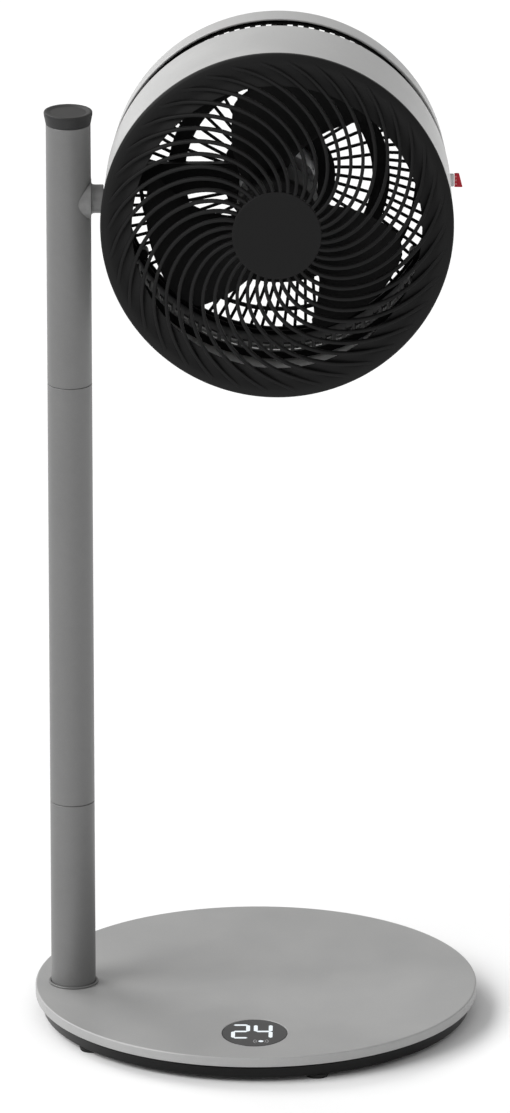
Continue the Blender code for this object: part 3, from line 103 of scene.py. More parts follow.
PLATE = Span("base_top", FLOOR)
PAN = Span("base_pan", FLOOR)
GLIDE = Span("glide_ring", FLOOR)
LENS = Span("display_lens", FLOOR)
TUBE = Span("middle_tube", POLE)
CAP = Span("pole_cap", POLE)
SHELL = Span("front_shell", HEAD)
HOUSING = Span("rear_housing", HEAD)
REAR_RING = Span("rear_ring", HEAD)
REAR_GRILLE = Span("rear_grille", HEAD)
GRILLE = Span("front_grille", HEAD)
PROPELLER = Span("propeller", HEAD)
TAB = Span("red_tab", HEAD)
SHELL_REAR_RADIUS = max(math.hypot(point.x, point.y) for point in SHELL.points
                        if point.z < SHELL.low + 0.0007)
SCREW_PLACES = [tuple(Span(f"housing_screw_{index}", HEAD).middle[:2]) for index in (1, 2, 3)]
LENS_CENTRE = (LENS.middle.x, LENS.middle.y)
LENS_REACH = ((LENS.last.x - LENS.first.x) / 2, (LENS.last.y - LENS.first.y) / 2)

# Fixed radii of bores, bosses and hubs.
SPINDLE_BORE = 0.0083
HOUSING_RING_BORE = 0.1196
SCREW_HOLE = 0.0018
SCREW_BOSS = 0.004
REAR_HUB_BORE = 0.005
FAN_HUB = 0.030
FAN_BORE = 0.0043
FAN_BOSS = 0.009


# ---------------------------------------------------------------- sizes and colours to change
def size(name, text, default, low=0.0, high=1.0):
    """Return a length property in metres."""
    return FloatProperty(name=name, description=text, default=default, min=low, max=high,
                         precision=5, subtype="DISTANCE", unit="LENGTH")


def angle(name, text, default):
    """Return an angle property; the default is in degrees."""
    return FloatProperty(name=name, description=text, default=math.radians(default),
                         subtype="ANGLE", unit="ROTATION")


def share(name, text, default):
    """Return a property from 0 to 1."""
    return FloatProperty(name=name, description=text, default=default, min=0.0, max=1.0,
                         subtype="FACTOR")


def colour(name, text, default):
    """Return a linear colour property."""
    return FloatVectorProperty(name=name, description=text, default=default, min=0.0, max=1.0,
                               size=3, subtype="COLOR")


def number(name, text, default, low=1):
    """Return a counting property."""
    return IntProperty(name=name, description=text, default=default, min=low)


class BaseSettings(bpy.types.PropertyGroup):
    """Sizes of the round base and its display."""

    plate_skin: size("Plate skin", "Thickness of the top plate", 0.002)
    plate_skirt: size("Plate skirt", "Width of the top plate's skirt", 0.005)
    plate_edge: size("Plate edge radius", "Rounding of the top plate's upper edge", 0.0012)
    pan_floor: size("Pan floor", "Thickness of the pan's floor", 0.0025)
    pan_rim: size("Pan rim", "Width of the pan's rim", 0.007)
    pan_taper: size("Pan taper", "How much narrower the pan is at its underside", 0.0025)
    spindle_boss: size("Spindle boss radius", "Outer radius of the boss in the pan", 0.015)
    spindle_recess: size("Spindle recess radius", "Radius of the recess under the boss", 0.013)
    running_gap: size("Running gap", "Clearance between neighbouring pieces", 0.0003)
    digit_height: size("Digit height", "Height of the display's digits", 0.0300)
    digit_width: size("Digit width", "Width of one digit", 0.0140)
    digit_stroke: size("Digit stroke", "Width of one lit bar", 0.0029)
    digit_relief: size("Digit relief", "How far a lit bar stands on the lens", 0.00006)
    digits: StringProperty(name="Digits", description="What the display shows", default="24")


class PoleSettings(bpy.types.PropertyGroup):
    """Sizes of the pole, its cap and the tilt arm."""

    tube_wall: size("Tube wall", "Wall of the pole's tubes", TUBE.outer - TUBE.inner)
    seam_edge: size("Seam edge radius", "Rounding of a tube's ends", 0.00045)
    cap_dish: size("Cap dish", "Depth of the dish in the cap's top", 0.0011)
    cap_plug_wall: size("Cap plug wall", "Wall of the cap's hollow plug", 0.002)
    arm_flare: size("Arm flare", "Fillet between the arm and the pole", 0.0045)
    arm_bore: size("Arm bore radius", "Radius of the hole for the tilt shaft", 0.0053)


class HeadSettings(bpy.types.PropertyGroup):
    """Sizes of the head's shells and its rear grille."""

    shell_wall: size("Shell wall", "Wall of the front shell", 0.0025)
    shell_edge: size("Shell edge radius", "Rounding of the shell's rear edge", 0.0009)
    boss_radius: size("Pivot boss radius", "Radius of the boss inside the shell", 0.0115)
    boss_depth: size("Pivot boss depth", "How far the boss stands into the shell", 0.006)
    slot_count: number("Slot bars", "Number of bars in the slotted band", 96)
    slot_first: angle("First slot bar", "Angle of the first bar", 1.2)
    slot_width: size("Slot bar width", "Width of one bar in the slotted band", 0.003)
    slot_depth: size("Slot bar depth", "Depth of one bar, in from its outer face", 0.0022)
    slot_recess: size("Slot bar recess", "Bars lie this far inside the shell's rear edge", 0.0057)
    housing_wall: size("Housing wall", "Wall of the housing inside the rear ring", 0.0014)
    ring_wall: size("Rear ring wall", "Wall of the rear ring", 0.003)
    ring_lip: size("Rear ring lip", "Wall of the ring's thin front lip", 0.0012)
    lip_depth: size("Rear ring lip depth", "Depth of the ring's thin front lip", 0.006)
    rear_rim: size("Rear grille rim", "Width of the rear grille's rim", 0.0035)
    rear_lug: size("Rear lug radius", "Radius of the rim's lugs round its screws", 0.0038)
    hoop_radius: size("Hoop radius", "Middle radius of the rear grille's hoop", 0.076)
    hoop_width: size("Hoop width", "Width of the rear grille's hoop", 0.013)
    outer_hoop_radius: size("Outer hoop radius", "Middle radius of the thin outer hoop", 0.103)
    outer_hoop_width: size("Outer hoop width", "Width of the thin outer hoop", 0.003)
    rear_hub: size("Rear hub radius", "Radius of the rear grille's hub", 0.042)
    outer_bars: number("Outer bars", "Bars between the hoop and the rim", 90)
    inner_bars: number("Inner bars", "Bars between the hub and the hoop", 45)
    bar_width: size("Bar width", "Width of a rear bar", 0.0024)
    bar_depth: size("Bar depth", "Depth of a rear bar", 0.0021)
    bar_slant: angle("Bar slant", "How far a bar would turn over the grille's radius", -14)


class GrilleSettings(bpy.types.PropertyGroup):
    """Sizes of the spiral front grille."""

    hub_radius: size("Hub radius", "Radius of the plain disc in the middle", 0.033)
    hub_edge: size("Hub edge radius", "Rounding of the disc's edge", 0.0009)
    rim_width: size("Rim width", "Width of the plain outer rim", 0.014)
    rim_rise: size("Rim rise", "How far the rim's inner edge stands forward", 0.004)
    ribs: number("Ribs", "Number of spiral ribs", 38)
    rib_width: size("Rib width", "Width of a rib", 0.0026)
    rib_depth: size("Rib depth", "Depth of a rib", 0.005)
    rib_round: size("Rib rounding", "Rounding of a rib's front edges", 0.0009)
    sweep: angle("Sweep", "How far a rib turns from hub to ring", 73)
    sweep_power: FloatProperty(name="Sweep power", description="How late a rib turns", default=1.3)
    dome_power: FloatProperty(name="Dome power", description="Roundness of the dome", default=1.8)
    web_radius: size("Web radius", "Where the gaps between ribs begin to fill", 0.1065)
    rib_end: size("Rib end radius", "Where the ribs run out into the rim", 0.1245)


class PropellerSettings(bpy.types.PropertyGroup):
    """Sizes of the propeller."""

    blades: number("Blades", "Number of blades", 3)
    first_angle: angle("First blade", "Angle of the first blade", -14)
    thickness: size("Blade thickness", "Thickest part of a blade", 0.0024)
    root_angle: angle("Root half angle", "Half of a blade's angle at the hub", 30)
    tip_angle: angle("Tip half angle", "Half of a blade's angle at its tip", 32.5)
    sweep: angle("Blade sweep", "How far the tip lies behind the root", -31)
    root_rise: size("Root half rise", "Half of a blade's rise at the hub", 0.017)
    tip_rise: size("Tip half rise", "Half of a blade's rise at its tip", 0.012)
    camber: share("Camber", "Bulge of a blade as a share of its half rise", 0.15)
    hub_wall: size("Hub wall", "Wall of the hub", 0.0025)
    flutes: number("Nut flutes", "Grip flutes round the propeller's nut", 12)


class FinishSettings(bpy.types.PropertyGroup):
    """Colours of the finishes."""

    plate_paint: colour("Plate paint", "Powder coat of the base plate and arm", (0.360, 0.360, 0.358))
    # The pole's paint is the plate's paint made about half as bright: painted shade for the pole's rounded
    # sides, which get less light.
    pole_paint: colour("Pole paint", "Powder coat of the pole", (0.172, 0.172, 0.171))
    shell_paint: colour("Shell paint", "Silver paint of the head", (0.455, 0.455, 0.451))
    black_plastic: colour("Black plastic", "Textured plastic", (0.0050, 0.0050, 0.0051))
    gloss_black: colour("Gloss black", "Polished plastic of the pan", (0.0045, 0.0045, 0.0045))
    lens_black: colour("Lens", "Smoked lens of the display", (0.014, 0.014, 0.0145))
    red_tape: colour("Red tape", "Woven tape of the tab", (0.60, 0.018, 0.035))
    dust: colour("Dust", "Fine dust on faces that look up", (0.42, 0.40, 0.37))
    digit_glow: colour("Digit glow", "Light of the display's bars", (0.80, 0.86, 0.90))


class StageSettings(bpy.types.PropertyGroup):
    """The camera, the lights and the floor."""

    azimuth: angle("Azimuth", "Camera's angle round the object", 0.5624)
    elevation: angle("Elevation", "Camera's angle above the horizon", 18.901)
    roll: angle("Roll", "Camera's turn about its own axis", -0.178)
    distance: size("Distance", "From the camera to the point it looks at", 14.0, 1.0, 100.0)
    aim_side: size("Aim side", "Where the camera looks, to the right of the centre", 0.00026, -1.0)
    aim_height: size("Aim height", "Height that the camera looks at", 0.35772)
    lens: FloatProperty(name="Lens", description="Focal length", default=609.24, min=1.0,
                        subtype="DISTANCE_CAMERA", unit="CAMERA")
    world_light: FloatProperty(name="World light", description="Strength of the room's light",
                               default=0.50, min=0.0)
    key_light: FloatProperty(name="Key light", description="Strength of the soft light from the left",
                             default=2.0, min=0.0)
    back_light: FloatProperty(name="Back light", description="Strength of the light from behind the left",
                              default=1.1, min=0.0)
    floor_grey: share("Floor", "Brightness of the pale floor", 0.97)


# ---------------------------------------------------------------- mesh helpers
FINE = 256
MEDIUM = 96
SMALL = 40
SHARP_ANGLE = math.radians(34)


def settings():
    """Return the scene's settings."""
    return bpy.context.scene.circulator


def rounded(corners, steps=5):
    """Return an outline with rounded corners; a corner is (x, y) or (x, y, fillet radius)."""
    points = []
    for index, corner in enumerate(corners):
        here = Vector(corner[:2])
        fillet = corner[2] if len(corner) > 2 else 0.0
        before = Vector(corners[index - 1][:2]) - here
        after = Vector(corners[(index + 1) % len(corners)][:2]) - here
        half = before.angle(after) / 2 if fillet else 0.0
        if not fillet or half > 1.55:
            points.append(tuple(here))
            continue
        reach = min(fillet / math.tan(half), 0.48 * before.length, 0.48 * after.length)
        first = before.normalized() * reach
        last = after.normalized() * reach
        centre = (first + last) / (2 * math.cos(half) ** 2)
        sweep = math.pi - 2 * half
        for step in range(steps + 1):
            turn = sweep * step / steps
            mixed = (first - centre) * math.sin(sweep - turn) + (last - centre) * math.sin(turn)
            points.append(tuple(here + centre + mixed / math.sin(sweep)))
    return points


def rectangle(left, right, low, high, fillets=(0, 0, 0, 0), steps=5):
    """Return a rectangle's outline; its fillets go round from its lower left corner."""
    corners = ((left, low), (right, low), (right, high), (left, high))
    return rounded([(*corner, fillet) for corner, fillet in zip(corners, fillets)], steps)


def join_rings(mesh, first, second):
    """Fill between two rings of vertices, either of which may be one vertex on the axis."""
    faces = []
    count = max(len(first), len(second))
    if count == 1:
        return faces
    for index in range(count):
        after = (index + 1) % count
        if len(first) == 1:
            corners = (first[0], second[index], second[after])
        elif len(second) == 1:
            corners = (first[index], first[after], second[0])
        else:
            corners = (first[index], first[after], second[after], second[index])
        faces.append(mesh.faces.new(corners))
    return faces


def add_turned(mesh, outline, segments, centre=(0, 0), stretch=(1, 1), wave=None):
    """Turn a closed outline of (radius, height) points about the Z axis through a centre."""
    rings = []
    for radius, height in outline:
        if radius < 1e-7:
            rings.append([mesh.verts.new((centre[0], centre[1], height))])
            continue
        ring = []
        for step in range(segments):
            turn = 2 * math.pi * step / segments
            reach = radius * (wave(turn, radius) if wave else 1.0)
            ring.append(mesh.verts.new((centre[0] + reach * stretch[0] * math.cos(turn),
                                        centre[1] + reach * stretch[1] * math.sin(turn), height)))
        rings.append(ring)
    faces = []
    for first, second in zip(rings, rings[1:] + rings[:1]):
        faces += join_rings(mesh, first, second)
    return faces


def add_rounded_turned(mesh, corners, segments, **options):
    """Turn an outline whose corners are rounded first."""
    return add_turned(mesh, rounded(corners), segments, **options)


def add_prism(mesh, outline, low, high):
    """Add a closed prism with a flat outline of (x, y) points between two heights."""
    below = [mesh.verts.new((x, y, low)) for x, y in outline]
    above = [mesh.verts.new((x, y, high)) for x, y in outline]
    return [mesh.faces.new(below), mesh.faces.new(above)] + join_rings(mesh, below, above)


def add_swept(mesh, sections):
    """Skin a run of closed sections, each a list of points, and close both ends."""
    rings = [[mesh.verts.new(point) for point in section] for section in sections]
    faces = [mesh.faces.new(rings[0]), mesh.faces.new(rings[-1])]
    for first, second in zip(rings, rings[1:]):
        faces += join_rings(mesh, first, second)
    return faces


def polar(radius, turn):
    """Return the (x, y) point at a radius and an angle."""
    return radius * math.cos(turn), radius * math.sin(turn)


def spread(count, first=0.0):
    """Return equal angles round a full turn."""
    return [first + 2 * math.pi * index / count for index in range(count)]


def round_bar(width, depth, fillet, steps=3):
    """Return a bar's section as (across, deep) points, centred, with rounded corners."""
    x, y = width / 2, depth / 2
    return rectangle(-x, x, -y, y, [fillet] * 4, steps)


def finish_mesh(name, mesh, place):
    """Turn a bmesh into an object in world space, with its faces turned outwards."""
    mesh.transform(place)
    bmesh.ops.recalc_face_normals(mesh, faces=mesh.faces)
    data = bpy.data.meshes.new(name)
    mesh.to_mesh(data)
    mesh.free()
    item = bpy.data.objects.new(name, data)
    bpy.context.scene.collection.objects.link(item)
    return item


def shade(item):
    """Shade a mesh smooth, apart from its sharp edges."""
    item.data.shade_smooth()
    item.data.set_sharp_from_angle(angle=SHARP_ANGLE)
    even = item.modifiers.new("even_shading", "WEIGHTED_NORMAL")
    even.keep_sharp = True


def combine(item, mesh, place, operation="DIFFERENCE"):
    """Cut a helper's volume from a piece, or add it, and keep the result as the piece's mesh."""
    helper = finish_mesh("helper", mesh, place)
    modifier = item.modifiers.new("combine", "BOOLEAN")
    modifier.operation = operation
    modifier.solver = "EXACT"
    modifier.use_self = operation == "UNION"
    modifier.object = helper
    graph = bpy.context.evaluated_depsgraph_get()
    result = bpy.data.meshes.new_from_object(item.evaluated_get(graph))
    item.modifiers.clear()
    old = item.data
    item.data = result
    result.name = item.name
    bpy.data.meshes.remove(old)
    bpy.data.objects.remove(helper, do_unlink=True)
    if not result.polygons:
        raise RuntimeError(f"{item.name} vanished in its {operation.lower()}")


def settle(item, body, finishes, nodes=()):
    """Shade a finished piece, give it its materials, hang it on its body, and hide the frame's nodes that it
    stands for.
    """
    shade(item)
    for material in finishes:
        if material.name not in item.data.materials:
            item.data.materials.append(material)
    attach(item, body)
    if nodes:
        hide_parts(*nodes)
    return item


def line_inside(item, place, radius, material):
    """Give the faces nearer to a place's Z axis than a radius a second material."""
    item.data.materials.append(material)
    back = place.inverted()
    for polygon in item.data.polygons:
        centre = back @ polygon.center
        if math.hypot(centre.x, centre.y) < radius:
            polygon.material_index = 1


def make_piece(name, mesh, place, body, finishes, nodes=()):
    """Turn a bmesh into a piece that rides on a body and stands for nodes of the frame."""
    return settle(finish_mesh(name, mesh, place), body, finishes, nodes)


def turned_mesh(outline, segments, **options):
    """Return a bmesh of one outline turned about the Z axis."""
    mesh = bmesh.new()
    add_turned(mesh, outline, segments, **options)
    return mesh


def turned_piece(name, outline, segments, place, body, finish, nodes=(), slot="", **options):
    """Make a piece by turning one outline about its place's Z axis."""
    mesh = turned_mesh(outline, segments, **options)
    return make_piece(name, mesh, place, body, [finish], nodes)


# ---------------------------------------------------------------- node helpers
class Tree:
    """A node tree that is written as short calls."""

    def __init__(self, tree):
        self.tree = tree

    def add(self, kind, inputs=None, **attributes):
        """Add a node; an input is a value or another node's socket."""
        node = self.tree.nodes.new(kind)
        for name, value in attributes.items():
            setattr(node, name, value)
        for name, value in (inputs or {}).items():
            socket = node.inputs[name]
            if isinstance(value, bpy.types.NodeSocket):
                self.tree.links.new(value, socket)
            else:
                socket.default_value = value
        return node

    def link(self, output, socket):
        """Link a node's output to a socket."""
        self.tree.links.new(output, socket)

    def place(self):
        """Return where a point lies in the object's own space."""
        return self.add("ShaderNodeTexCoord").outputs["Object"]

    def math(self, operation, first, second=0.5, clamp=False):
        """Add a Math node and return its output."""
        node = self.add("ShaderNodeMath", {0: first, 1: second}, operation=operation, use_clamp=clamp)
        return node.outputs[0]

    def times(self, first, second, clamp=False):
        """Multiply two values."""
        return self.math("MULTIPLY", first, second, clamp)

    def noise(self, where, scale, detail=3.0, roughness=0.5, distortion=0.0):
        """Add a Noise texture and return its value."""
        inputs = {"Vector": where, "Scale": scale, "Detail": detail, "Roughness": roughness,
                  "Distortion": distortion}
        return self.add("ShaderNodeTexNoise", inputs).outputs["Fac"]

    def stretch(self, value, low, high, to_low=0.0, to_high=1.0):
        """Map a value from one range to another, clamped."""
        inputs = {"Value": value, "From Min": low, "From Max": high, "To Min": to_low, "To Max": to_high}
        return self.add("ShaderNodeMapRange", inputs).outputs["Result"]

    def mix(self, factor, first, second, blend="MIX"):
        """Mix two colours and return the result."""
        node = self.add("ShaderNodeMix", data_type="RGBA", blend_type=blend)
        for index, value in ((0, factor), (6, first), (7, second)):
            if isinstance(value, bpy.types.NodeSocket):
                self.tree.links.new(value, node.inputs[index])
            else:
                node.inputs[index].default_value = value
        return node.outputs[2]


def new_group(name, inputs, outputs):
    """Make a shader node group; return its tree, its inputs' node and its outputs' node."""
    group = bpy.data.node_groups.new(name, "ShaderNodeTree")
    for label, kind, default in inputs:
        socket = group.interface.new_socket(name=label, in_out="INPUT", socket_type=kind)
        socket.default_value = default
    for label, kind in outputs:
        group.interface.new_socket(name=label, in_out="OUTPUT", socket_type=kind)
    tree = Tree(group)
    return tree, tree.add("NodeGroupInput").outputs, tree.add("NodeGroupOutput").inputs


VALUE = "NodeSocketFloat"


def group_grain():
    """Pits and a slow swell for paint and moulded plastic, and a fleck for metallic paint."""
    inputs = [("Grain per Metre", VALUE, 2500.0), ("Swell per Metre", VALUE, 350.0),
              ("Swell Share", VALUE, 0.3)]
    outputs = [("Height", VALUE), ("Fleck", VALUE), ("Mottle", VALUE)]
    tree, given, result = new_group("Fine grain", inputs, outputs)
    where = tree.place()
    pits = tree.noise(where, given["Grain per Metre"], 2.0, 0.6)
    swell = tree.noise(where, given["Swell per Metre"], 2.0, 0.5)
    both = tree.add("ShaderNodeMix", {0: given["Swell Share"], 2: pits, 3: swell}, data_type="FLOAT")
    tree.link(both.outputs[0], result["Height"])
    cells = tree.add("ShaderNodeTexVoronoi", {"Vector": where, "Scale": given["Grain per Metre"]})
    fleck = tree.add("ShaderNodeSeparateColor", {"Color": cells.outputs["Color"]}).outputs["Red"]
    tree.link(fleck, result["Fleck"])
    mottle = tree.noise(where, 14.0, 4.0, 0.55)
    tree.link(tree.stretch(mottle, 0.3, 0.7), result["Mottle"])
    return tree.tree


def group_wear():
    """Rubbed edges, dust that lies on faces that look up at rest, and fine rubbing marks."""
    inputs = [("Edge Sharpness", VALUE, 12.0), ("Speck per Metre", VALUE, 900.0)]
    outputs = [("Edge", VALUE), ("Dust", VALUE), ("Rub", VALUE)]
    tree, given, result = new_group("Wear and dust", inputs, outputs)
    spots = tree.add("ShaderNodeTexCoord").outputs
    pointed = tree.add("ShaderNodeNewGeometry").outputs["Pointiness"]
    edge = tree.times(tree.math("SUBTRACT", pointed, 0.505), given["Edge Sharpness"])
    broken = tree.stretch(tree.noise(spots["Object"], 160.0, 5.0, 0.65), 0.35, 0.65)
    height = tree.add("ShaderNodeSeparateXYZ", {"Vector": spots["Normal"]}).outputs["Z"]
    sloped = tree.stretch(height, 0.97, 0.995, 1.0, 0.0)
    worn = tree.times(tree.times(edge, broken), sloped, clamp=True)
    tree.link(worn, result["Edge"])
    looks_up = tree.stretch(height, 0.25, 1.0)
    haze = tree.stretch(tree.noise(spots["Object"], 28.0, 6.0, 0.62), 0.42, 0.85, 0.25)
    specks = tree.stretch(tree.noise(spots["Object"], given["Speck per Metre"], 2.0, 0.8), 0.64, 0.74)
    lying = tree.math("ADD", haze, tree.times(specks, 0.7), clamp=True)
    tree.link(tree.times(looks_up, lying), result["Dust"])
    long = tree.add("ShaderNodeMapping", {"Vector": spots["Object"], "Scale": (1.0, 0.12, 1.0),
                                          "Rotation": (0.3, 0.2, 0.7)}).outputs["Vector"]
    rub = tree.stretch(tree.noise(long, 700.0, 3.0, 0.7, 0.4), 0.60, 0.78)
    tree.link(rub, result["Rub"])
    return tree.tree


def group_turning():
    """Fine rings left by a lathe or a brush round a vertical or a level axis."""
    inputs = [("Centre", "NodeSocketVector", (0.0, 0.0, 0.0)), ("Lines per Metre", VALUE, 5000.0)]
    outputs = [("Height", VALUE), ("Tone", VALUE)]
    tree, given, result = new_group("Turning marks", inputs, outputs)
    where = tree.place()
    moved = tree.add("ShaderNodeVectorMath", {0: where, 1: given["Centre"]}, operation="SUBTRACT")
    parts = tree.add("ShaderNodeSeparateXYZ", {"Vector": moved.outputs[0]}).outputs
    square = tree.math("ADD", tree.times(parts["X"], parts["X"]),
                       tree.times(parts["Y"], parts["Y"]))
    radius = tree.math("SQRT", square, 0.0)
    flat = tree.add("ShaderNodeCombineXYZ", {"X": radius, "Y": parts["Z"], "Z": 0.0}).outputs[0]
    lines = tree.noise(flat, given["Lines per Metre"], 2.0, 0.6)
    tree.link(lines, result["Height"])
    tone = tree.noise(flat, 240.0, 4.0, 0.6)
    tree.link(tree.stretch(tone, 0.3, 0.7), result["Tone"])
    return tree.tree


def group_weave():
    """Crossing threads of a woven tape: their height and how they are lit."""
    inputs = [("Threads per Metre", VALUE, 2600.0)]
    outputs = [("Height", VALUE), ("Shade", VALUE)]
    tree, given, result = new_group("Woven threads", inputs, outputs)
    where = tree.place()
    parts = tree.add("ShaderNodeSeparateXYZ", {"Vector": where}).outputs
    turn = tree.times(given["Threads per Metre"], 2 * math.pi)
    waves = []
    for axis in ("X", "Z"):
        wave = tree.math("SINE", tree.times(parts[axis], turn), 0.0)
        waves.append(tree.stretch(wave, -1.0, 1.0))
    height = tree.times(tree.math("ADD", *waves), 0.5)
    tree.link(height, result["Height"])
    fuzz = tree.noise(where, 3500.0, 3.0, 0.7)
    tree.link(tree.times(tree.stretch(height, 0.0, 1.0, 0.45), fuzz), result["Shade"])
    return tree.tree


GROUPS = {"Fine grain": group_grain, "Wear and dust": group_wear, "Turning marks": group_turning,
          "Woven threads": group_weave}


def use_group(tree, label, **values):
    """Place a shared effect in a material; names use _ for a space."""
    group = bpy.data.node_groups.get(label) or GROUPS[label]()
    node = tree.add("ShaderNodeGroup", node_tree=group)
    for name, value in values.items():
        node.inputs[name.replace("_", " ")].default_value = value
    return node.outputs


# ---------------------------------------------------------------- materials
def shaded(values, factor):
    """Return a lighter or darker colour, with full alpha."""
    return (*(min(1.0, part * factor) for part in values[:3]), 1.0)


def new_material(name, **sockets):
    """Make a material and set its shader's plain values, where names use _ for a space.

    Returns the material's tree and its shader.
    """
    material = bpy.data.materials.new(name)
    material.use_nodes = True
    shader = material.node_tree.nodes["Principled BSDF"]
    for label, value in sockets.items():
        shader.inputs[label.replace("_", " ")].default_value = value
    return Tree(material.node_tree), shader


def finish(tree, shader, base, rough, height, depth, strength=0.5):
    """Link a material's colour, its roughness and a bump of the stated depth in metres."""
    bump = tree.add("ShaderNodeBump", {"Strength": strength, "Distance": depth, "Height": height})
    tree.link(base, shader.inputs["Base Color"])
    tree.link(rough, shader.inputs["Roughness"])
    tree.link(bump.outputs[0], shader.inputs["Normal"])


def coated(name, base, rough, metal, flake, dust, edge, grain, depth, swell=0.3, mottle=0.05, **sockets):
    """Make a painted or moulded finish: mottle, fleck, rubbed edges, rub marks and dust."""
    tree, shader = new_material(name, Metallic=metal, **sockets)
    fine = use_group(tree, "Fine grain", Grain_per_Metre=grain, Swell_Share=swell)
    wear = use_group(tree, "Wear and dust")
    dark = shaded(base, 1 - mottle)
    light = shaded(base, 1 + mottle)
    tone = tree.mix(fine["Mottle"], dark, light)
    tone = tree.mix(tree.stretch(fine["Fleck"], 0.55, 1.0, 0.0, flake), tone, shaded(base, 1.6))
    tone = tree.mix(tree.times(wear["Edge"], edge), tone, shaded(base, 1.9))
    powder = tree.times(wear["Dust"], dust)
    tone = tree.mix(powder, tone, shaded(settings().finishes.dust, 1.0))
    level = tree.stretch(fine["Mottle"], 0.0, 1.0, rough - 0.04, rough + 0.05)
    level = tree.math("SUBTRACT", level, tree.times(wear["Rub"], 0.06))
    level = tree.math("ADD", level, tree.times(powder, 1.2), clamp=True)
    finish(tree, shader, tone, level, fine["Height"], depth)


def turned_metal(name, base, rough, centre, tint=0.12, lines=5000.0, depth=0.00002):
    """Make bare metal with the fine rings of a lathe."""
    tree, shader = new_material(name, Metallic=1.0)
    rings = use_group(tree, "Turning marks", Centre=centre, Lines_per_Metre=lines)
    wear = use_group(tree, "Wear and dust")
    tone = tree.mix(rings["Tone"], shaded(base, 1 - tint), shaded(base, 1 + tint))
    tone = tree.mix(tree.times(wear["Edge"], 0.5), tone, shaded(base, 1.4))
    level = tree.stretch(rings["Tone"], 0.0, 1.0, rough - 0.06, rough + 0.10)
    finish(tree, shader, tone, level, rings["Height"], depth)


def make_cast_iron():
    """Make sand-cast iron with a thin coat of oil and rust in its pits."""
    tree, shader = new_material("cast_iron_finish", Metallic=0.75)
    fine = use_group(tree, "Fine grain", Grain_per_Metre=1100.0, Swell_Share=0.5)
    wear = use_group(tree, "Wear and dust", Speck_per_Metre=500.0)
    tone = tree.mix(fine["Mottle"], (0.085, 0.083, 0.080, 1.0), (0.150, 0.147, 0.142, 1.0))
    pits = tree.stretch(fine["Height"], 0.48, 0.30)
    tone = tree.mix(tree.times(pits, 0.45), tone, (0.105, 0.055, 0.032, 1.0))
    tone = tree.mix(wear["Edge"], tone, (0.30, 0.30, 0.30, 1.0))
    level = tree.stretch(fine["Mottle"], 0.0, 1.0, 0.50, 0.68)
    finish(tree, shader, tone, level, fine["Height"], 0.0003, 0.7)


def make_board():
    """Make a circuit board: solder mask over copper runs, with bare pads."""
    tree, shader = new_material("board_finish", Coat_Weight=0.25)
    where = tree.place()
    bricks = {"Vector": where, "Scale": 140.0, "Mortar Size": 0.035, "Bias": -0.3,
              "Color1": (0.010, 0.075, 0.030, 1.0), "Color2": (0.014, 0.100, 0.042, 1.0),
              "Mortar": (0.030, 0.180, 0.075, 1.0)}
    runs = tree.add("ShaderNodeTexBrick", bricks)
    cells = tree.add("ShaderNodeTexVoronoi", {"Vector": where, "Scale": 210.0}).outputs["Distance"]
    pads = tree.stretch(cells, 0.16, 0.13)
    tone = tree.mix(pads, runs.outputs["Color"], (0.62, 0.58, 0.46, 1.0))
    fine = use_group(tree, "Fine grain", Grain_per_Metre=1800.0)
    level = tree.stretch(fine["Mottle"], 0.0, 1.0, 0.30, 0.46)
    finish(tree, shader, tone, level, runs.outputs["Fac"], 0.00004)


def make_winding():
    """Make enamelled copper wire wound round a ring."""
    tree, shader = new_material("winding_finish", Metallic=0.85, Coat_Weight=0.5)
    rings = use_group(tree, "Turning marks", Centre=tuple(TILT_POINT), Lines_per_Metre=1900.0)
    # Darker copper in the low grooves between the turns, lighter on the turns themselves: painted shade.
    tone = tree.mix(rings["Height"], (0.30, 0.105, 0.035, 1.0), (0.66, 0.30, 0.12, 1.0))
    level = tree.stretch(rings["Tone"], 0.0, 1.0, 0.26, 0.42)
    finish(tree, shader, tone, level, rings["Height"], 0.0002, 0.8)


def make_nylon():
    """Make natural moulded nylon, a little milky, with flow marks and a film of grease."""
    tree, shader = new_material("nylon_finish", Subsurface_Weight=0.15)
    fine = use_group(tree, "Fine grain", Grain_per_Metre=900.0, Swell_Share=0.6)
    tone = tree.mix(fine["Mottle"], (0.66, 0.64, 0.57, 1.0), (0.78, 0.77, 0.72, 1.0))
    level = tree.stretch(fine["Mottle"], 0.0, 1.0, 0.34, 0.52)
    finish(tree, shader, tone, level, fine["Height"], 0.00005)


def make_lens(base):
    """Make the smoked lens: polished, with faint wiping marks."""
    tree, shader = new_material("lens_finish", Coat_Weight=0.1, Specular_IOR_Level=0.35)
    fine = use_group(tree, "Fine grain", Grain_per_Metre=500.0, Swell_Share=0.9)
    wear = use_group(tree, "Wear and dust")
    tone = tree.mix(fine["Mottle"], shaded(base, 0.92), shaded(base, 1.08))
    tone = tree.mix(tree.times(wear["Dust"], 0.035), tone, shaded(settings().finishes.dust, 1.0))
    level = tree.stretch(fine["Mottle"], 0.0, 1.0, 0.10, 0.16)
    level = tree.math("ADD", level, tree.times(wear["Rub"], 0.10))
    finish(tree, shader, tone, level, fine["Height"], 0.000004)


def make_glow(base):
    """Make a lit bar of the display, its glow varied a little by a fine grain."""
    tree, shader = new_material("glow_finish", Emission_Strength=0.92, Roughness=0.35)
    fine = use_group(tree, "Fine grain", Grain_per_Metre=900.0)
    tone = tree.mix(fine["Height"], shaded(base, 0.86), shaded(base, 1.10))
    tree.link(tone, shader.inputs["Emission Color"])
    tree.link(tree.mix(0.8, tone, (0.02, 0.02, 0.02, 1.0)), shader.inputs["Base Color"])


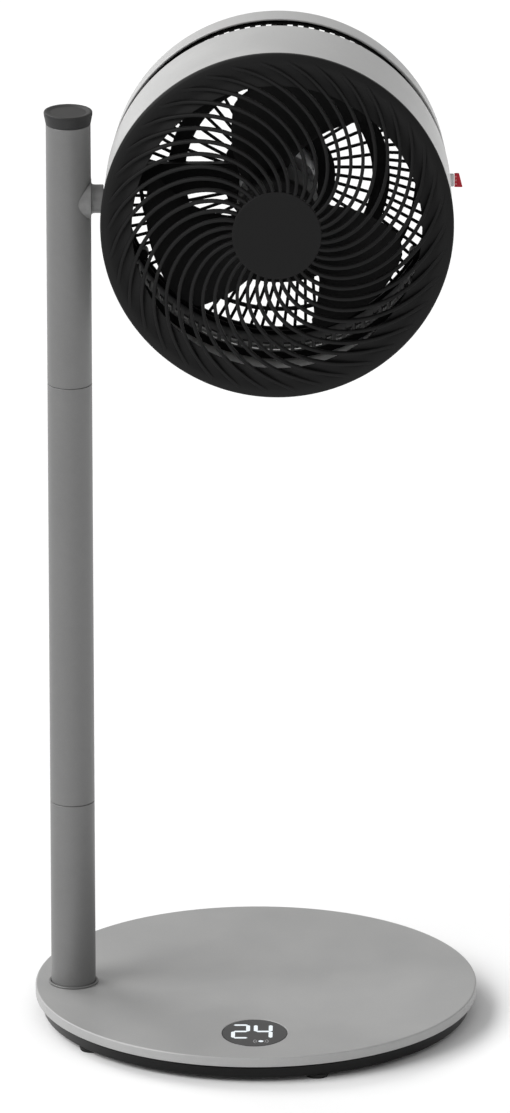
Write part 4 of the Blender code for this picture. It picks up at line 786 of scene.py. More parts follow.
def make_tape(base):
    """Make the tab's woven tape."""
    tree, shader = new_material("tape_finish", Sheen_Weight=0.35, Sheen_Roughness=0.4)
    threads = use_group(tree, "Woven threads")
    tone = tree.mix(threads["Shade"], shaded(base, 0.55), shaded(base, 1.35))
    level = tree.stretch(threads["Height"], 0.0, 1.0, 0.95, 0.72)
    finish(tree, shader, tone, level, threads["Height"], 0.00012, 0.9)


def make_finishes():
    """Make every finish; each is named after its key with _finish behind it."""
    given = settings().finishes
    pole_centre = tuple(POLE.translation)
    head_centre = tuple(TILT_POINT)
    coated("plate_finish", given.plate_paint, 0.46, 0.25, 0.10, 0.10, 0.25, 2600, 0.00004)
    # pole_finish is the plate's paint darkened: painted shade. The tilt arm wears it too.
    coated("pole_finish", given.pole_paint, 0.42, 0.35, 0.10, 0.06, 0.2, 2600, 0.00004)
    coated("shell_finish", given.shell_paint, 0.40, 0.20, 0.12, 0.05, 0.25, 3200, 0.00002,
           Coat_Weight=0.12, Coat_Roughness=0.25)
    coated("black_plastic_finish", given.black_plastic, 0.56, 0.0, 0.04, 0.012, 0.05, 1900, 0.00006,
           0.1, 0.12, Specular_IOR_Level=0.20)
    # cap_finish is the black plastic made three times lighter, with more gloss: painted light that stands in
    # for the light on the cap's top.
    coated("cap_finish", shaded(given.black_plastic, 3.0), 0.50, 0.0, 0.05, 0.08, 0.10, 1900, 0.00006,
           0.1, 0.12, Specular_IOR_Level=0.40)
    coated("gloss_black_finish", given.gloss_black, 0.34, 0.0, 0.0, 0.02, 0.1, 700, 0.000006,
           0.8, 0.1, Specular_IOR_Level=0.20)
    coated("rubber_finish", (0.016, 0.016, 0.016), 0.78, 0.0, 0.04, 0.10, 0.15, 1300, 0.00008,
           0.2, 0.15, Specular_IOR_Level=0.25)
    turned_metal("steel_finish", (0.52, 0.52, 0.53), 0.30, head_centre)
    turned_metal("pole_steel_finish", (0.50, 0.50, 0.51), 0.33, pole_centre)
    turned_metal("dark_steel_finish", (0.20, 0.20, 0.205), 0.38, head_centre)
    make_cast_iron()
    make_nylon()
    make_board()
    make_winding()
    make_lens(given.lens_black)
    make_glow(given.digit_glow)
    make_tape(given.red_tape)
    coated("thread_finish", (0.70, 0.68, 0.64), 0.70, 0.0, 0.0, 0.0, 0.0, 4000, 0.00003)


def use(name):
    """Return a finish, making them all on first use."""
    if f"{name}_finish" not in bpy.data.materials:
        make_finishes()
    return bpy.data.materials[f"{name}_finish"]


# ---------------------------------------------------------------- base
class PieceOperator:
    """What the operators share: they run once the frame is loaded, and can be undone."""

    bl_options = {"REGISTER", "UNDO"}

    @classmethod
    def poll(cls, context):
        return bool(frame["nodes"])


class CIRCULATOR_OT_base_plate(PieceOperator, bpy.types.Operator):
    """Build the round top plate with its rounded edge, the pole's hole and the display's window"""

    bl_idname = "circulator.base_plate"
    bl_label = "Base Plate"

    def execute(self, context):
        given = context.scene.circulator
        base = given.base
        inner = PLATE.outer - base.plate_skirt
        under = PLATE.high - base.plate_skin
        outline = rounded([(inner, PLATE.low, 0.0003), (PLATE.outer, PLATE.low, 0.0006),
                           (PLATE.outer, PLATE.high, base.plate_edge), (0, PLATE.high), (0, under),
                           (inner, under, 0.0008)])
        plate = finish_mesh("base_plate", turned_mesh(outline, FINE), FLOOR)
        chamfer = 0.0003
        above = PLATE.high + 0.001
        hole = TUBE.outer + base.running_gap
        profile = [(0, under - 0.001), (hole, under - 0.001), (hole, PLATE.high - chamfer),
                   (hole + chamfer + 0.001, above), (0, above)]
        combine(plate, turned_mesh(profile, MEDIUM), POLE)
        wide = LENS_REACH[0]
        gap = base.running_gap / wide
        profile = [(0, under - 0.001), (1 + gap, under - 0.001), (1 + gap, PLATE.high - chamfer),
                   (1 + gap + (chamfer + 0.001) / wide, above), (0, above)]
        combine(plate, turned_mesh(profile, MEDIUM, centre=LENS_CENTRE, stretch=LENS_REACH), FLOOR)
        settle(plate, "turntable", [use("plate")], ["base_top"])
        return {"FINISHED"}


class CIRCULATOR_OT_base_pan(PieceOperator, bpy.types.Operator):
    """Build the black pan under the plate, with its boss and the notch for the inlet"""

    bl_idname = "circulator.base_pan"
    bl_label = "Base Pan"

    def execute(self, context):
        given = context.scene.circulator
        base = given.base
        inner = PAN.outer - base.pan_rim
        floor = PAN.low + base.pan_floor
        rim_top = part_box("glide_ring")[0].z - base.running_gap
        bore = Span("turntable_hub", FLOOR)
        outline = rounded([
            (base.spindle_recess, PAN.low, 0.0004), (PAN.outer - base.pan_taper, PAN.low, 0.0012),
            (PAN.outer, rim_top, 0.0006), (inner, rim_top, 0.0005), (inner, floor, 0.0008),
            (base.spindle_boss, floor, 0.0006), (base.spindle_boss, PAN.high, 0.0004),
            (SPINDLE_BORE, PAN.high), (SPINDLE_BORE, bore.low), (base.spindle_recess, bore.low)])
        pan = finish_mesh("base_pan_shell", turned_mesh(outline, FINE), FLOOR)
        inlet_low, inlet_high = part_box("dc_inlet")
        gap = base.running_gap
        notch = rectangle(inlet_low.x - gap, inlet_high.x + gap, inner - 0.002, PAN.outer + 0.002)
        mesh = bmesh.new()
        add_prism(mesh, notch, inlet_low.z - gap, rim_top + 0.002)
        combine(pan, mesh, FLOOR)
        settle(pan, "base", [use("gloss_black")], ["base_pan"])
        ring = rectangle(GLIDE.inner, GLIDE.outer, GLIDE.low, GLIDE.high, [0.0002] * 4, 2)
        turned_piece("glide_strip", ring, FINE, FLOOR, "base", use("black_plastic"), ["glide_ring"],
                     "black_plastic")
        return {"FINISHED"}


class CIRCULATOR_OT_feet(PieceOperator, bpy.types.Operator):
    """Build the rubber feet: a rounded pad with a grip groove, and a stud that plugs into the pan"""

    bl_idname = "circulator.feet"
    bl_label = "Feet"

    def execute(self, context):
        given = context.scene.circulator
        for node in sorted(name for name in frame["nodes"] if name.startswith("foot_")):
            low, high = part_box(node)
            centre = (low + high) / 2
            radius = (high.x - low.x) / 2
            top = PAN.low - given.base.running_gap
            stud = radius / 3
            outline = rounded([(0, 0.0006), (radius * 0.42, 0.0006, 0.0003), (radius * 0.50, 0, 0.0003),
                               (radius * 0.93, 0, 0.0006), (radius, top, 0.0005), (stud, top, 0.0002),
                               (stud, high.z, 0.0004), (0, high.z)], 4)
            turned_piece(f"rubber_{node}", outline, MEDIUM, FLOOR, "base", use("rubber"), [node], "rubber",
                         centre=(centre.x, centre.y))
        return {"FINISHED"}


class CIRCULATOR_OT_inlet(PieceOperator, bpy.types.Operator):
    """Build the power inlet: a rounded block with a round socket, its sleeve and its centre pin"""

    bl_idname = "circulator.inlet"
    bl_label = "Power Inlet"

    def execute(self, context):
        low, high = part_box("dc_inlet")
        centre = (low + high) / 2
        back = Matrix.Translation((centre.x, high.y, centre.z)) @ Matrix.Rotation(math.radians(90), 4, "X")
        half_x = (high.x - low.x) / 2
        half_z = (high.z - low.z) / 2
        depth = high.y - low.y
        mesh = bmesh.new()
        add_prism(mesh, rectangle(-half_x, half_x, -half_z, half_z, [0.0008] * 4, 4), 0, depth)
        block = finish_mesh("power_inlet", mesh, back)
        bore = half_z * 0.86
        profile = [(0, -0.001), (bore + 0.0012, -0.001), (bore, 0.0002), (bore, depth * 0.72),
                   (0, depth * 0.72)]
        combine(block, turned_mesh(profile, SMALL), back)
        settle(block, "base", [use("black_plastic")], ["dc_inlet"])
        mesh = bmesh.new()
        sleeve = bore - 0.0001
        outline = rectangle(sleeve - 0.0003, sleeve, 0.0012, depth * 0.71, [0.0001, 0.0001, 0, 0], 2)
        add_turned(mesh, outline, SMALL)
        pin = bore * 0.32
        add_turned(mesh, rounded([(0, 0.0009), (pin, 0.0009, pin * 0.6), (pin, depth * 0.71),
                                  (0, depth * 0.71)], 4), SMALL)
        make_piece("inlet_contacts", mesh, back, "base", [use("pole_steel")])
        return {"FINISHED"}


# Which bars of a seven-bar digit are lit, named a to g clockwise from the top, g in the middle.
LIT_BARS = {
    "0": "abcdef", "1": "bc", "2": "abged", "3": "abgcd", "4": "fgbc", "5": "afgcd", "6": "afgedc",
    "7": "abc", "8": "abcdefg", "9": "abcdfg",
}


class CIRCULATOR_OT_display(PieceOperator, bpy.types.Operator):
    """Build the display: the smoked oval lens, its lit digits and the small signal mark"""

    bl_idname = "circulator.display"
    bl_label = "Display"

    def execute(self, context):
        given = context.scene.circulator
        base = given.base
        centre = LENS_CENTRE
        edge = 0.0006 / LENS_REACH[0]
        top = LENS.high - base.digit_relief
        outline = [(0, LENS.low), (1, LENS.low), (1, top - 0.0004), (1 - edge * 0.35, top - 0.00012),
                   (1 - edge, top), (0, top)]
        turned_piece("display_window", outline, 2 * MEDIUM, FLOOR, "turntable", use("lens"),
                     ["display_lens"], "gloss_black", centre=centre, stretch=LENS_REACH)
        mesh = bmesh.new()
        low = top - 0.0002
        pitch = base.digit_width * 1.2
        start = centre[0] - 0.0021 - pitch * (len(base.digits) - 1) / 2
        for index, digit in enumerate(base.digits):
            self.add_digit(mesh, base, LIT_BARS[digit], start + pitch * index, centre[1] + 0.0028, low)
        mark = (centre[0] + 0.0048, centre[1] - 0.0180)
        add_prism(mesh, [(mark[0] + x, mark[1] + y) for x, y in
                         (polar(0.0019, turn) for turn in spread(20))], low, LENS.high)
        make_piece("display_digits", mesh, FLOOR, "turntable", [use("glow")])
        mesh = bmesh.new()
        for side in (0.0, math.pi):
            for reach in (0.0040, 0.0058):
                arc = [polar(reach, side + math.radians(turn)) for turn in range(-42, 43, 7)]
                arc += [polar(reach - 0.0007, side + math.radians(turn)) for turn in range(42, -43, -7)]
                add_prism(mesh, [(mark[0] + x, mark[1] + y) for x, y in arc], low, top + 0.00003)
        make_piece("display_mark", mesh, FLOOR, "turntable", [use("steel")])
        return {"FINISHED"}

    def add_digit(self, mesh, base, lit, x, y, low):
        """Add one digit's lit bars round its centre."""
        half_x = (base.digit_width - base.digit_stroke) / 2
        half_y = (base.digit_height - base.digit_stroke) / 2
        corner = {"tl": (-half_x, half_y), "tr": (half_x, half_y), "ml": (-half_x, 0),
                  "mr": (half_x, 0), "bl": (-half_x, -half_y), "br": (half_x, -half_y)}
        ends = {"a": ("tl", "tr"), "b": ("tr", "mr"), "c": ("mr", "br"), "d": ("bl", "br"),
                "e": ("ml", "bl"), "f": ("tl", "ml"), "g": ("ml", "mr")}
        half = base.digit_stroke / 2
        gap = 0.00022
        for bar in lit:
            first, last = (Vector(corner[end]) for end in ends[bar])
            along = (last - first).normalized()
            side = Vector((-along.y, along.x)) * half
            first = first + along * gap
            last = last - along * gap
            inset = along * half
            points = (first, first + inset - side, last - inset - side, last, last - inset + side,
                      first + inset + side)
            outline = rounded([(x + point.x, y + point.y, 0.0004) for point in points], 3)
            add_prism(mesh, outline, low, LENS.high)


# ---------------------------------------------------------------- pole and tilt arm
class CIRCULATOR_OT_pole(PieceOperator, bpy.types.Operator):
    """Build the pole: three tubes with rounded ends, the foot ring and the dished cap"""

    bl_idname = "circulator.pole"
    bl_label = "Pole"

    def execute(self, context):
        given = context.scene.circulator
        pole = given.pole
        # The pole's finish is the plate's paint darkened: painted shade.
        paint = use("pole")
        edge = pole.seam_edge
        inner = TUBE.outer - pole.tube_wall
        for node in ("lower_tube", "middle_tube", "upper_tube"):
            span = Span(node, POLE)
            outline = rectangle(inner, TUBE.outer, span.low, span.high, [0.0002, edge, edge, 0.0002], 4)
            turned_piece(f"pole_{node}", outline, FINE, POLE, "turntable", paint, [node], "pole_paint")
        span = Span("pole_ring", POLE)
        outline = rectangle(span.inner, span.outer, span.low, span.high, [0, 0.0002, 0.0006, 0.0003], 4)
        turned_piece("pole_foot_ring", outline, FINE, POLE, "turntable", paint, ["pole_ring"],
                     "pole_paint")
        base = Span("upper_tube", POLE).high + given.base.running_gap
        plug = Span("coupler_upper", POLE).outer
        inner = plug - pole.cap_plug_wall
        top = CAP.high
        flare = CAP.outer
        outline = rounded([(inner, CAP.low, 0.0003), (plug, CAP.low, 0.0006), (plug, base),
                           (TUBE.outer, base, 0.0003), (TUBE.outer + 0.0003, base + 0.0012, 0.002),
                           (flare, top - 0.0024, 0.002), (flare, top, 0.0011),
                           (flare - 0.0020, top, 0.0008), (flare - 0.0046, top - pole.cap_dish, 0.003),
                           (0, top - pole.cap_dish), (0, top - 0.0032), (inner, top - 0.0032)], 5)
        # The cap wears a lightened copy of the black plastic: painted light on its top.
        turned_piece("pole_end_cap", outline, FINE, POLE, "turntable", use("cap"), ["pole_cap"],
                     "black_plastic")
        return {"FINISHED"}


class CIRCULATOR_OT_tilt_arm(PieceOperator, bpy.types.Operator):
    """Build the short arm that flares into a saddle on the pole and carries the tilt shaft"""

    bl_idname = "circulator.tilt_arm"
    bl_label = "Tilt Arm"

    def execute(self, context):
        given = context.scene.circulator
        pole = given.pole
        span = Span("tilt_arm", ARM)
        end = span.high
        surface = POLE_CENTRE.x + TUBE.outer - TILT_POINT.x
        arm_radius = span.outer - pole.arm_flare
        flare = span.outer
        corners = [(pole.arm_bore, surface - 0.75 * flare), (flare, surface - 0.75 * flare),
                   (flare, surface + 0.0001), (arm_radius, surface + 0.0001, pole.arm_flare),
                   (arm_radius, end, 0.0007), (pole.arm_bore, end, 0.0003)]
        arm = finish_mesh("tilt_arm_piece", turned_mesh(rounded(corners, 8), MEDIUM), ARM)
        saddle = TUBE.outer + given.base.running_gap
        reach = 2 * flare
        outline = [(0, TILT_POINT.z - reach), (saddle, TILT_POINT.z - reach),
                   (saddle, TILT_POINT.z + reach), (0, TILT_POINT.z + reach)]
        combine(arm, turned_mesh(outline, 2 * FINE), POLE)
        # The arm wears the pole's darker finish in place of the plate's paint: painted shade.
        settle(arm, "turntable", [use("pole")], ["tilt_arm"])
        return {"FINISHED"}


# ---------------------------------------------------------------- head shells
class CIRCULATOR_OT_front_shell(PieceOperator, bpy.types.Operator):
    """Build the silver front shell with the pivot boss inside its left wall"""

    bl_idname = "circulator.front_shell"
    bl_label = "Front Shell"

    def execute(self, context):
        given = context.scene.circulator
        head = given.head
        rear = SHELL.low
        rear_radius = SHELL_REAR_RADIUS
        wall = head.shell_wall
        outline = rounded([(rear_radius - wall, rear, 0.0004), (rear_radius, rear, head.shell_edge),
                           (SHELL.outer, SHELL.high, 0.0006), (SHELL.outer - wall, SHELL.high, 0.0003)])
        shell = finish_mesh("silver_shell", turned_mesh(outline, FINE), HEAD)
        sideways = HEAD @ Matrix.Rotation(math.radians(-90), 4, "Y")
        face = rear_radius - wall - head.boss_depth
        seat = rear_radius - wall / 2
        boss = rounded([(0, face), (head.boss_radius, face, 0.0006), (head.boss_radius, seat),
                        (0, seat)], 4)
        combine(shell, turned_mesh(boss, MEDIUM), sideways, "UNION")
        bore = given.pole.arm_bore
        hole = [(0, face - 0.002), (bore + 0.001, face - 0.002), (bore, face + 0.0006),
                (bore, SHELL.outer + 0.002), (0, SHELL.outer + 0.002)]
        combine(shell, turned_mesh(hole, SMALL), sideways)
        shell.data.materials.append(use("shell"))
        line_inside(shell, HEAD, rear_radius - wall + 0.0002, use("black_plastic"))
        settle(shell, "head", [], ["front_shell"])
        return {"FINISHED"}


class CIRCULATOR_OT_rear_housing(PieceOperator, bpy.types.Operator):
    """Build the black housing: its front ring, the slotted band, the rear wall and the screw bosses"""

    bl_idname = "circulator.rear_housing"
    bl_label = "Rear Housing"

    def execute(self, context):
        given = context.scene.circulator
        head = given.head
        band_front = SHELL.low - 0.002
        band_rear = REAR_RING.high + given.base.running_gap
        outer = REAR_RING.outer - head.ring_wall - 0.0007
        mesh = bmesh.new()
        add_turned(mesh, rectangle(HOUSING_RING_BORE, HOUSING.outer, band_front, HOUSING.high,
                                   [0.0003, 0.0004, 0.0005, 0.0005]), FINE)
        wall_front = band_rear - 0.0035
        thin = outer - head.housing_wall
        ledge = HOUSING.low + 0.003
        ledge_inner = HOUSING_RING_BORE - 0.001
        add_rounded_turned(mesh, [(ledge_inner, HOUSING.low, 0.0004), (outer, HOUSING.low, 0.0005),
                                  (outer, wall_front, 0.0004), (thin, wall_front, 0.0003),
                                  (thin, ledge, 0.0005), (ledge_inner, ledge, 0.0005)], FINE)
        bar_outer = SHELL_REAR_RADIUS - head.slot_recess
        middle = bar_outer - head.slot_depth / 2
        section = round_bar(head.slot_depth, head.slot_width, 0.0005)
        for turn in spread(head.slot_count, head.slot_first):
            spin = Matrix.Rotation(turn, 3, "Z")
            sections = [[spin @ Vector((middle + x, y, height)) for x, y in section]
                        for height in (wall_front - 0.0012, band_front + 0.0011)]
            add_swept(mesh, sections)
        low = HOUSING.low
        high = low + 0.012
        floor = high - 0.002
        for place in SCREW_PLACES:
            add_rounded_turned(mesh, [(SCREW_HOLE, low, 0.0002), (SCREW_BOSS, low, 0.0003),
                                      (SCREW_BOSS, high, 0.0008), (0, high), (0, floor),
                                      (SCREW_HOLE, floor)], SMALL, centre=place)
            outward = Vector(place).normalized()
            side = Vector((-outward.y, outward.x)) * 0.0016
            near = outward * (Vector(place).length + 0.0027)
            far = outward * (thin + 0.0006)
            add_prism(mesh, [tuple(near - side), tuple(far - side), tuple(far + side),
                             tuple(near + side)], low + 0.0003, high - 0.0012)
        make_piece("rear_housing_shell", mesh, HEAD, "head", [use("black_plastic")], ["rear_housing"])
        return {"FINISHED"}


class CIRCULATOR_OT_rear_ring(PieceOperator, bpy.types.Operator):
    """Build the silver ring round the back of the head, with its soft rear shoulder"""

    bl_idname = "circulator.rear_ring"
    bl_label = "Rear Ring"

    def execute(self, context):
        given = context.scene.circulator
        outer = REAR_RING.outer
        inner = outer - given.head.ring_wall
        rear = REAR_RING.low
        front = REAR_RING.high
        thin = outer - given.head.ring_lip
        shelf = front - given.head.lip_depth
        outline = rounded([(inner, shelf, 0.0003), (thin, shelf, 0.0004), (thin, front, 0.0003),
                           (outer, front, 0.0004), (outer - 0.0018, rear + 0.005, 0.012),
                           (outer - 0.0031, rear + 0.0013, 0.002),
                           (inner - 0.0002, rear, 0.0004), (inner - 0.0012, rear, 0.0004),
                           (inner - 0.0012, rear + 0.0025, 0.0004), (inner, rear + 0.0035, 0.0006)], 6)
        turned_piece("silver_rear_ring", outline, FINE, HEAD, "head", use("shell"), ["rear_ring"],
                     "shell_paint")
        return {"FINISHED"}


class CIRCULATOR_OT_rear_grille(PieceOperator, bpy.types.Operator):
    """Build the rear grille: rim, hoop and hub joined by slanted round-edged bars"""

    bl_idname = "circulator.rear_grille"
    bl_label = "Rear Grille"

    def execute(self, context):
        given = context.scene.circulator
        head = given.head
        low = REAR_GRILLE.low
        high = REAR_GRILLE.high
        outer = REAR_GRILLE.outer
        rim_inner = outer - head.rear_rim
        middle = (low + high) / 2
        half = head.bar_depth / 2
        thick = half + 0.0003
        hoop_inner = head.hoop_radius - head.hoop_width / 2
        hoop_outer = head.hoop_radius + head.hoop_width / 2
        half_width = head.outer_hoop_width / 2
        mesh = bmesh.new()
        for left, right, depth, fillets in (
                (rim_inner, outer, (low, high), (0.0007, 0.0007, 0.0005, 0.0005)),
                (hoop_inner, hoop_outer, (middle - thick, middle + thick),
                 (0.0006, 0.0006, 0.0005, 0.0005)),
                (head.outer_hoop_radius - half_width, head.outer_hoop_radius + half_width,
                 (middle - thick, middle + thick), [0.0005] * 4)):
            add_turned(mesh, rectangle(left, right, *depth, fillets), FINE)
        for place in SCREW_PLACES:
            add_turned(mesh, rectangle(SCREW_HOLE, head.rear_lug, low, high,
                                       (0.0002, 0.0005, 0.0005, 0.0002)), SMALL, centre=place)
        add_turned(mesh, rectangle(REAR_HUB_BORE, head.rear_hub, low, high,
                                   (0.0004, 0.0006, 0.0006, 0.0004)), FINE)
        section = round_bar(head.bar_width, head.bar_depth, 0.0006)
        bite = 0.0015
        self.add_bars(mesh, section, middle, head.outer_bars, hoop_outer - bite, rim_inner + bite, head)
        self.add_bars(mesh, section, middle, head.inner_bars, head.rear_hub - bite, hoop_inner + bite,
                      head)
        make_piece("rear_grille_piece", mesh, HEAD, "head", [use("black_plastic")], ["rear_grille"])
        return {"FINISHED"}

    def add_bars(self, mesh, section, middle, count, inner, outer, head):
        """Add one zone of bars."""
        for turn in spread(count):
            start = Vector(polar(inner, turn))
            end = Vector(polar(outer, turn + head.bar_slant * (outer - inner) / REAR_GRILLE.outer))
            side = (end - start).normalized()
            side = Vector((-side.y, side.x))
            sections = [[(*(place + side * across), middle + deep) for across, deep in section]
                        for place in (start, end)]
            add_swept(mesh, sections)


# ---------------------------------------------------------------- front grille
class CIRCULATOR_OT_front_grille(PieceOperator, bpy.types.Operator):
    """Build the spiral grille: the plain disc, the swept ribs and the rim with its lip"""

    bl_idname = "circulator.front_grille"
    bl_label = "Front Grille"

    def execute(self, context):
        given = context.scene.circulator
        grille = given.grille
        gap = given.base.running_gap
        seat = SHELL.high + gap
        ring = GRILLE.outer
        rim_inner = ring - grille.rim_width
        ring_plane = seat + grille.rim_rise
        rim_front = ring_plane + grille.rim_rise
        lip = SHELL.outer - given.head.shell_wall - 2 * gap

        def height(radius):
            if radius > rim_inner:
                run_out = (radius - rim_inner) / (ring - 0.006 - rim_inner)
                return rim_front - (rim_front - ring_plane - 0.0030) * run_out
            across = max(0.0, (radius - grille.hub_radius) / (rim_inner - grille.hub_radius))
            return GRILLE.high - (GRILLE.high - rim_front) * across ** grille.dome_power

        def turn_at(radius):
            across = max(0.0, (radius - grille.hub_radius) / (ring - grille.hub_radius))
            return grille.sweep * across ** grille.sweep_power

        mesh = bmesh.new()
        web = grille.web_radius
        web_front = height(web) - grille.rib_depth + 0.0008
        web_back = web_front - 0.0008
        add_rounded_turned(mesh, [
            (web, web_front, 0.0003), (rim_inner, rim_front - 0.0030, 0.020),
            (grille.rib_end, ring_plane + 0.0027, 0.010), (ring - 0.0012, ring_plane + 0.0012, 0.003),
            (ring, ring_plane, 0.0008), (ring, seat + 0.0005, 0.0003), (ring - 0.0002, seat),
            (lip + 0.0001, seat), (lip, GRILLE.low, 0.0004), (lip - 0.002, GRILLE.low, 0.0004),
            (rim_inner + 0.001, rim_front - grille.rib_depth, 0.003), (web, web_back, 0.0003)], 2 * FINE)
        thick = grille.rib_depth
        hub = grille.hub_radius
        add_rounded_turned(mesh, [(0, GRILLE.high - thick), (hub, GRILLE.high - thick, 0.0006),
                                  (hub, GRILLE.high, grille.hub_edge), (0, GRILLE.high)], FINE)
        section = round_bar(grille.rib_width, thick, grille.rib_round)
        start = hub - 0.0012
        end = grille.rib_end
        steps = 34
        for first in spread(grille.ribs):
            sections = []
            for step in range(steps + 1):
                radius = start + (end - start) * step / steps
                here = Vector(polar(radius, first + turn_at(radius)))
                after = Vector(polar(radius + 0.0003, first + turn_at(radius + 0.0003)))
                along = (after - here).normalized()
                side = Vector((-along.y, along.x))
                sink = 0.0004 if step in (0, steps) else 0.0
                run_out = min(1.0, (end - radius) / (end - rim_inner))
                deep_share = 0.35 + 0.65 * run_out
                top = height(radius) - sink
                sections.append([(*(here + side * across), top + (deep - thick / 2) * deep_share)
                                 for across, deep in section])
            add_swept(mesh, sections)
        make_piece("spiral_grille", mesh, HEAD, "head", [use("black_plastic")], ["front_grille"])
        return {"FINISHED"}


# ---------------------------------------------------------------- propeller and motor
class CIRCULATOR_OT_propeller(PieceOperator, bpy.types.Operator):
    """Build the propeller: its hub, its wide thin-edged blades and the fluted nut"""

    bl_idname = "circulator.propeller"
    bl_label = "Propeller"

    def execute(self, context):
        given = context.scene.circulator
        fan = given.propeller
        front = PROPELLER.high
        rear = PROPELLER.low
        tip = PROPELLER.outer - 0.0002
        inner = FAN_HUB - fan.hub_wall
        roof = front - 0.006
        mesh = bmesh.new()
        add_rounded_turned(mesh, [
            (FAN_BORE, rear + 0.015, 0.0003), (FAN_BOSS, rear + 0.015, 0.0005), (FAN_BOSS, roof, 0.001),
            (inner - 0.001, roof - 0.002, 0.002), (inner, roof - 0.004), (inner, rear, 0.0004),
            (FAN_HUB, rear, 0.0008), (FAN_HUB, roof - 0.001, 0.006),
            (FAN_HUB - 0.0025, roof + 0.003, 0.004), (FAN_HUB - 0.010, front - 0.0005, 0.006),
            (FAN_BORE, front)], FINE)
        root = inner + fan.hub_wall * 0.4
        centre = rear + (front - rear) * 0.46
        for turn in spread(fan.blades, fan.first_angle):
            self.add_blade(mesh, fan, turn, root, tip, centre)
        make_piece("propeller_piece", mesh, HEAD, "rotor", [use("black_plastic")], ["propeller"])
        span = Span("propeller_nut", HEAD)
        low = span.low
        high = span.high
        radius = span.outer

        def flutes(turn, reach):
            if reach < radius * 0.8:
                return 1.0
            return 1.0 - 0.05 * max(0.0, math.cos(fan.flutes * turn)) ** 4

        outline = rounded([(FAN_BORE, low, 0.0002), (radius, low, 0.0005), (radius, low + 0.004, 0.003),
                           (radius * 0.75, high - 0.001, 0.004), (radius * 0.45, high, 0.002),
                           (0, high), (0, low + 0.0075), (FAN_BORE, low + 0.0075)])
        turned_piece("propeller_grip_nut", outline, MEDIUM * 2, HEAD, "rotor", use("black_plastic"),
                     ["propeller_nut"], "black_plastic", wave=flutes)
        return {"FINISHED"}

    def add_blade(self, mesh, fan, first, root, tip, centre):
        """Add one blade as an upper and a lower skin that meet in thin edges."""
        rows = 18
        columns = 26
        upper = []
        lower = []
        for row in range(rows + 1):
            along = row / rows
            radius = root + (tip - root) * along
            half = fan.root_angle + (fan.tip_angle - fan.root_angle) * along
            rise = fan.root_rise + (fan.tip_rise - fan.root_rise) * along
            top = []
            bottom = []
            for column in range(columns + 1):
                eased = 0.5 - 0.5 * math.cos(math.pi * column / columns)
                side = 2 * eased - 1
                trim = 1.0 - 0.05 * max(0, row - rows + 2) ** 2 * abs(side) ** 6
                turn = first + fan.sweep * along + half * side * trim
                height = centre + rise * side * trim + fan.camber * rise * (1 - side * side)
                skin = fan.thickness / 2 * (0.25 + 0.75 * math.sqrt(max(0.0, 1 - side * side)))
                skin *= 1.0 - 0.35 * along
                x, y = polar(radius, turn)
                normal = Vector((math.sin(turn), -math.cos(turn), 1.6)).normalized() * skin
                point = Vector((x, y, height))
                top.append(mesh.verts.new(point + normal))
                bottom.append(mesh.verts.new(point - normal))
            upper.append(top)
            lower.append(bottom)
        for row in range(rows):
            for column in range(columns):
                after = column + 1
                mesh.faces.new((upper[row][column], upper[row][after], upper[row + 1][after],
                                upper[row + 1][column]))
                mesh.faces.new((lower[row][column], lower[row + 1][column], lower[row + 1][after],
                                lower[row][after]))
            for column in (0, columns):
                mesh.faces.new((upper[row][column], upper[row + 1][column], lower[row + 1][column],
                                lower[row][column]))
        for row in (0, rows):
            for column in range(columns):
                mesh.faces.new((upper[row][column], upper[row][column + 1], lower[row][column + 1],
                                lower[row][column]))


class CIRCULATOR_OT_motor_cover(PieceOperator, bpy.types.Operator):
    """Build the cover over the motor's screws at the back, with its soft edge and a fine sunk groove"""

    bl_idname = "circulator.motor_cover"
    bl_label = "Motor Cover"

    def execute(self, context):
        span = Span("motor_cover", HEAD)
        rear = span.low
        face = span.high
        radius = span.outer
        wall = 0.0018
        roof = rear + wall
        outline = rounded([(radius - wall, face, 0.0003), (radius, face, 0.0004),
                           (radius - 0.0005, rear + 0.0014, 0.002), (radius - 0.0030, rear, 0.003),
                           (radius - 0.0090, rear, 0.0005), (radius - 0.0094, rear + 0.0004, 0.0003),
                           (radius - 0.0106, rear + 0.0004, 0.0003), (radius - 0.0110, rear, 0.0005),
                           (0, rear), (0, roof), (radius - wall - 0.0015, roof, 0.001)], 5)
        turned_piece("motor_screw_cover", outline, FINE, HEAD, "head", use("black_plastic"), ["motor_cover"],
                     "black_plastic")
        return {"FINISHED"}


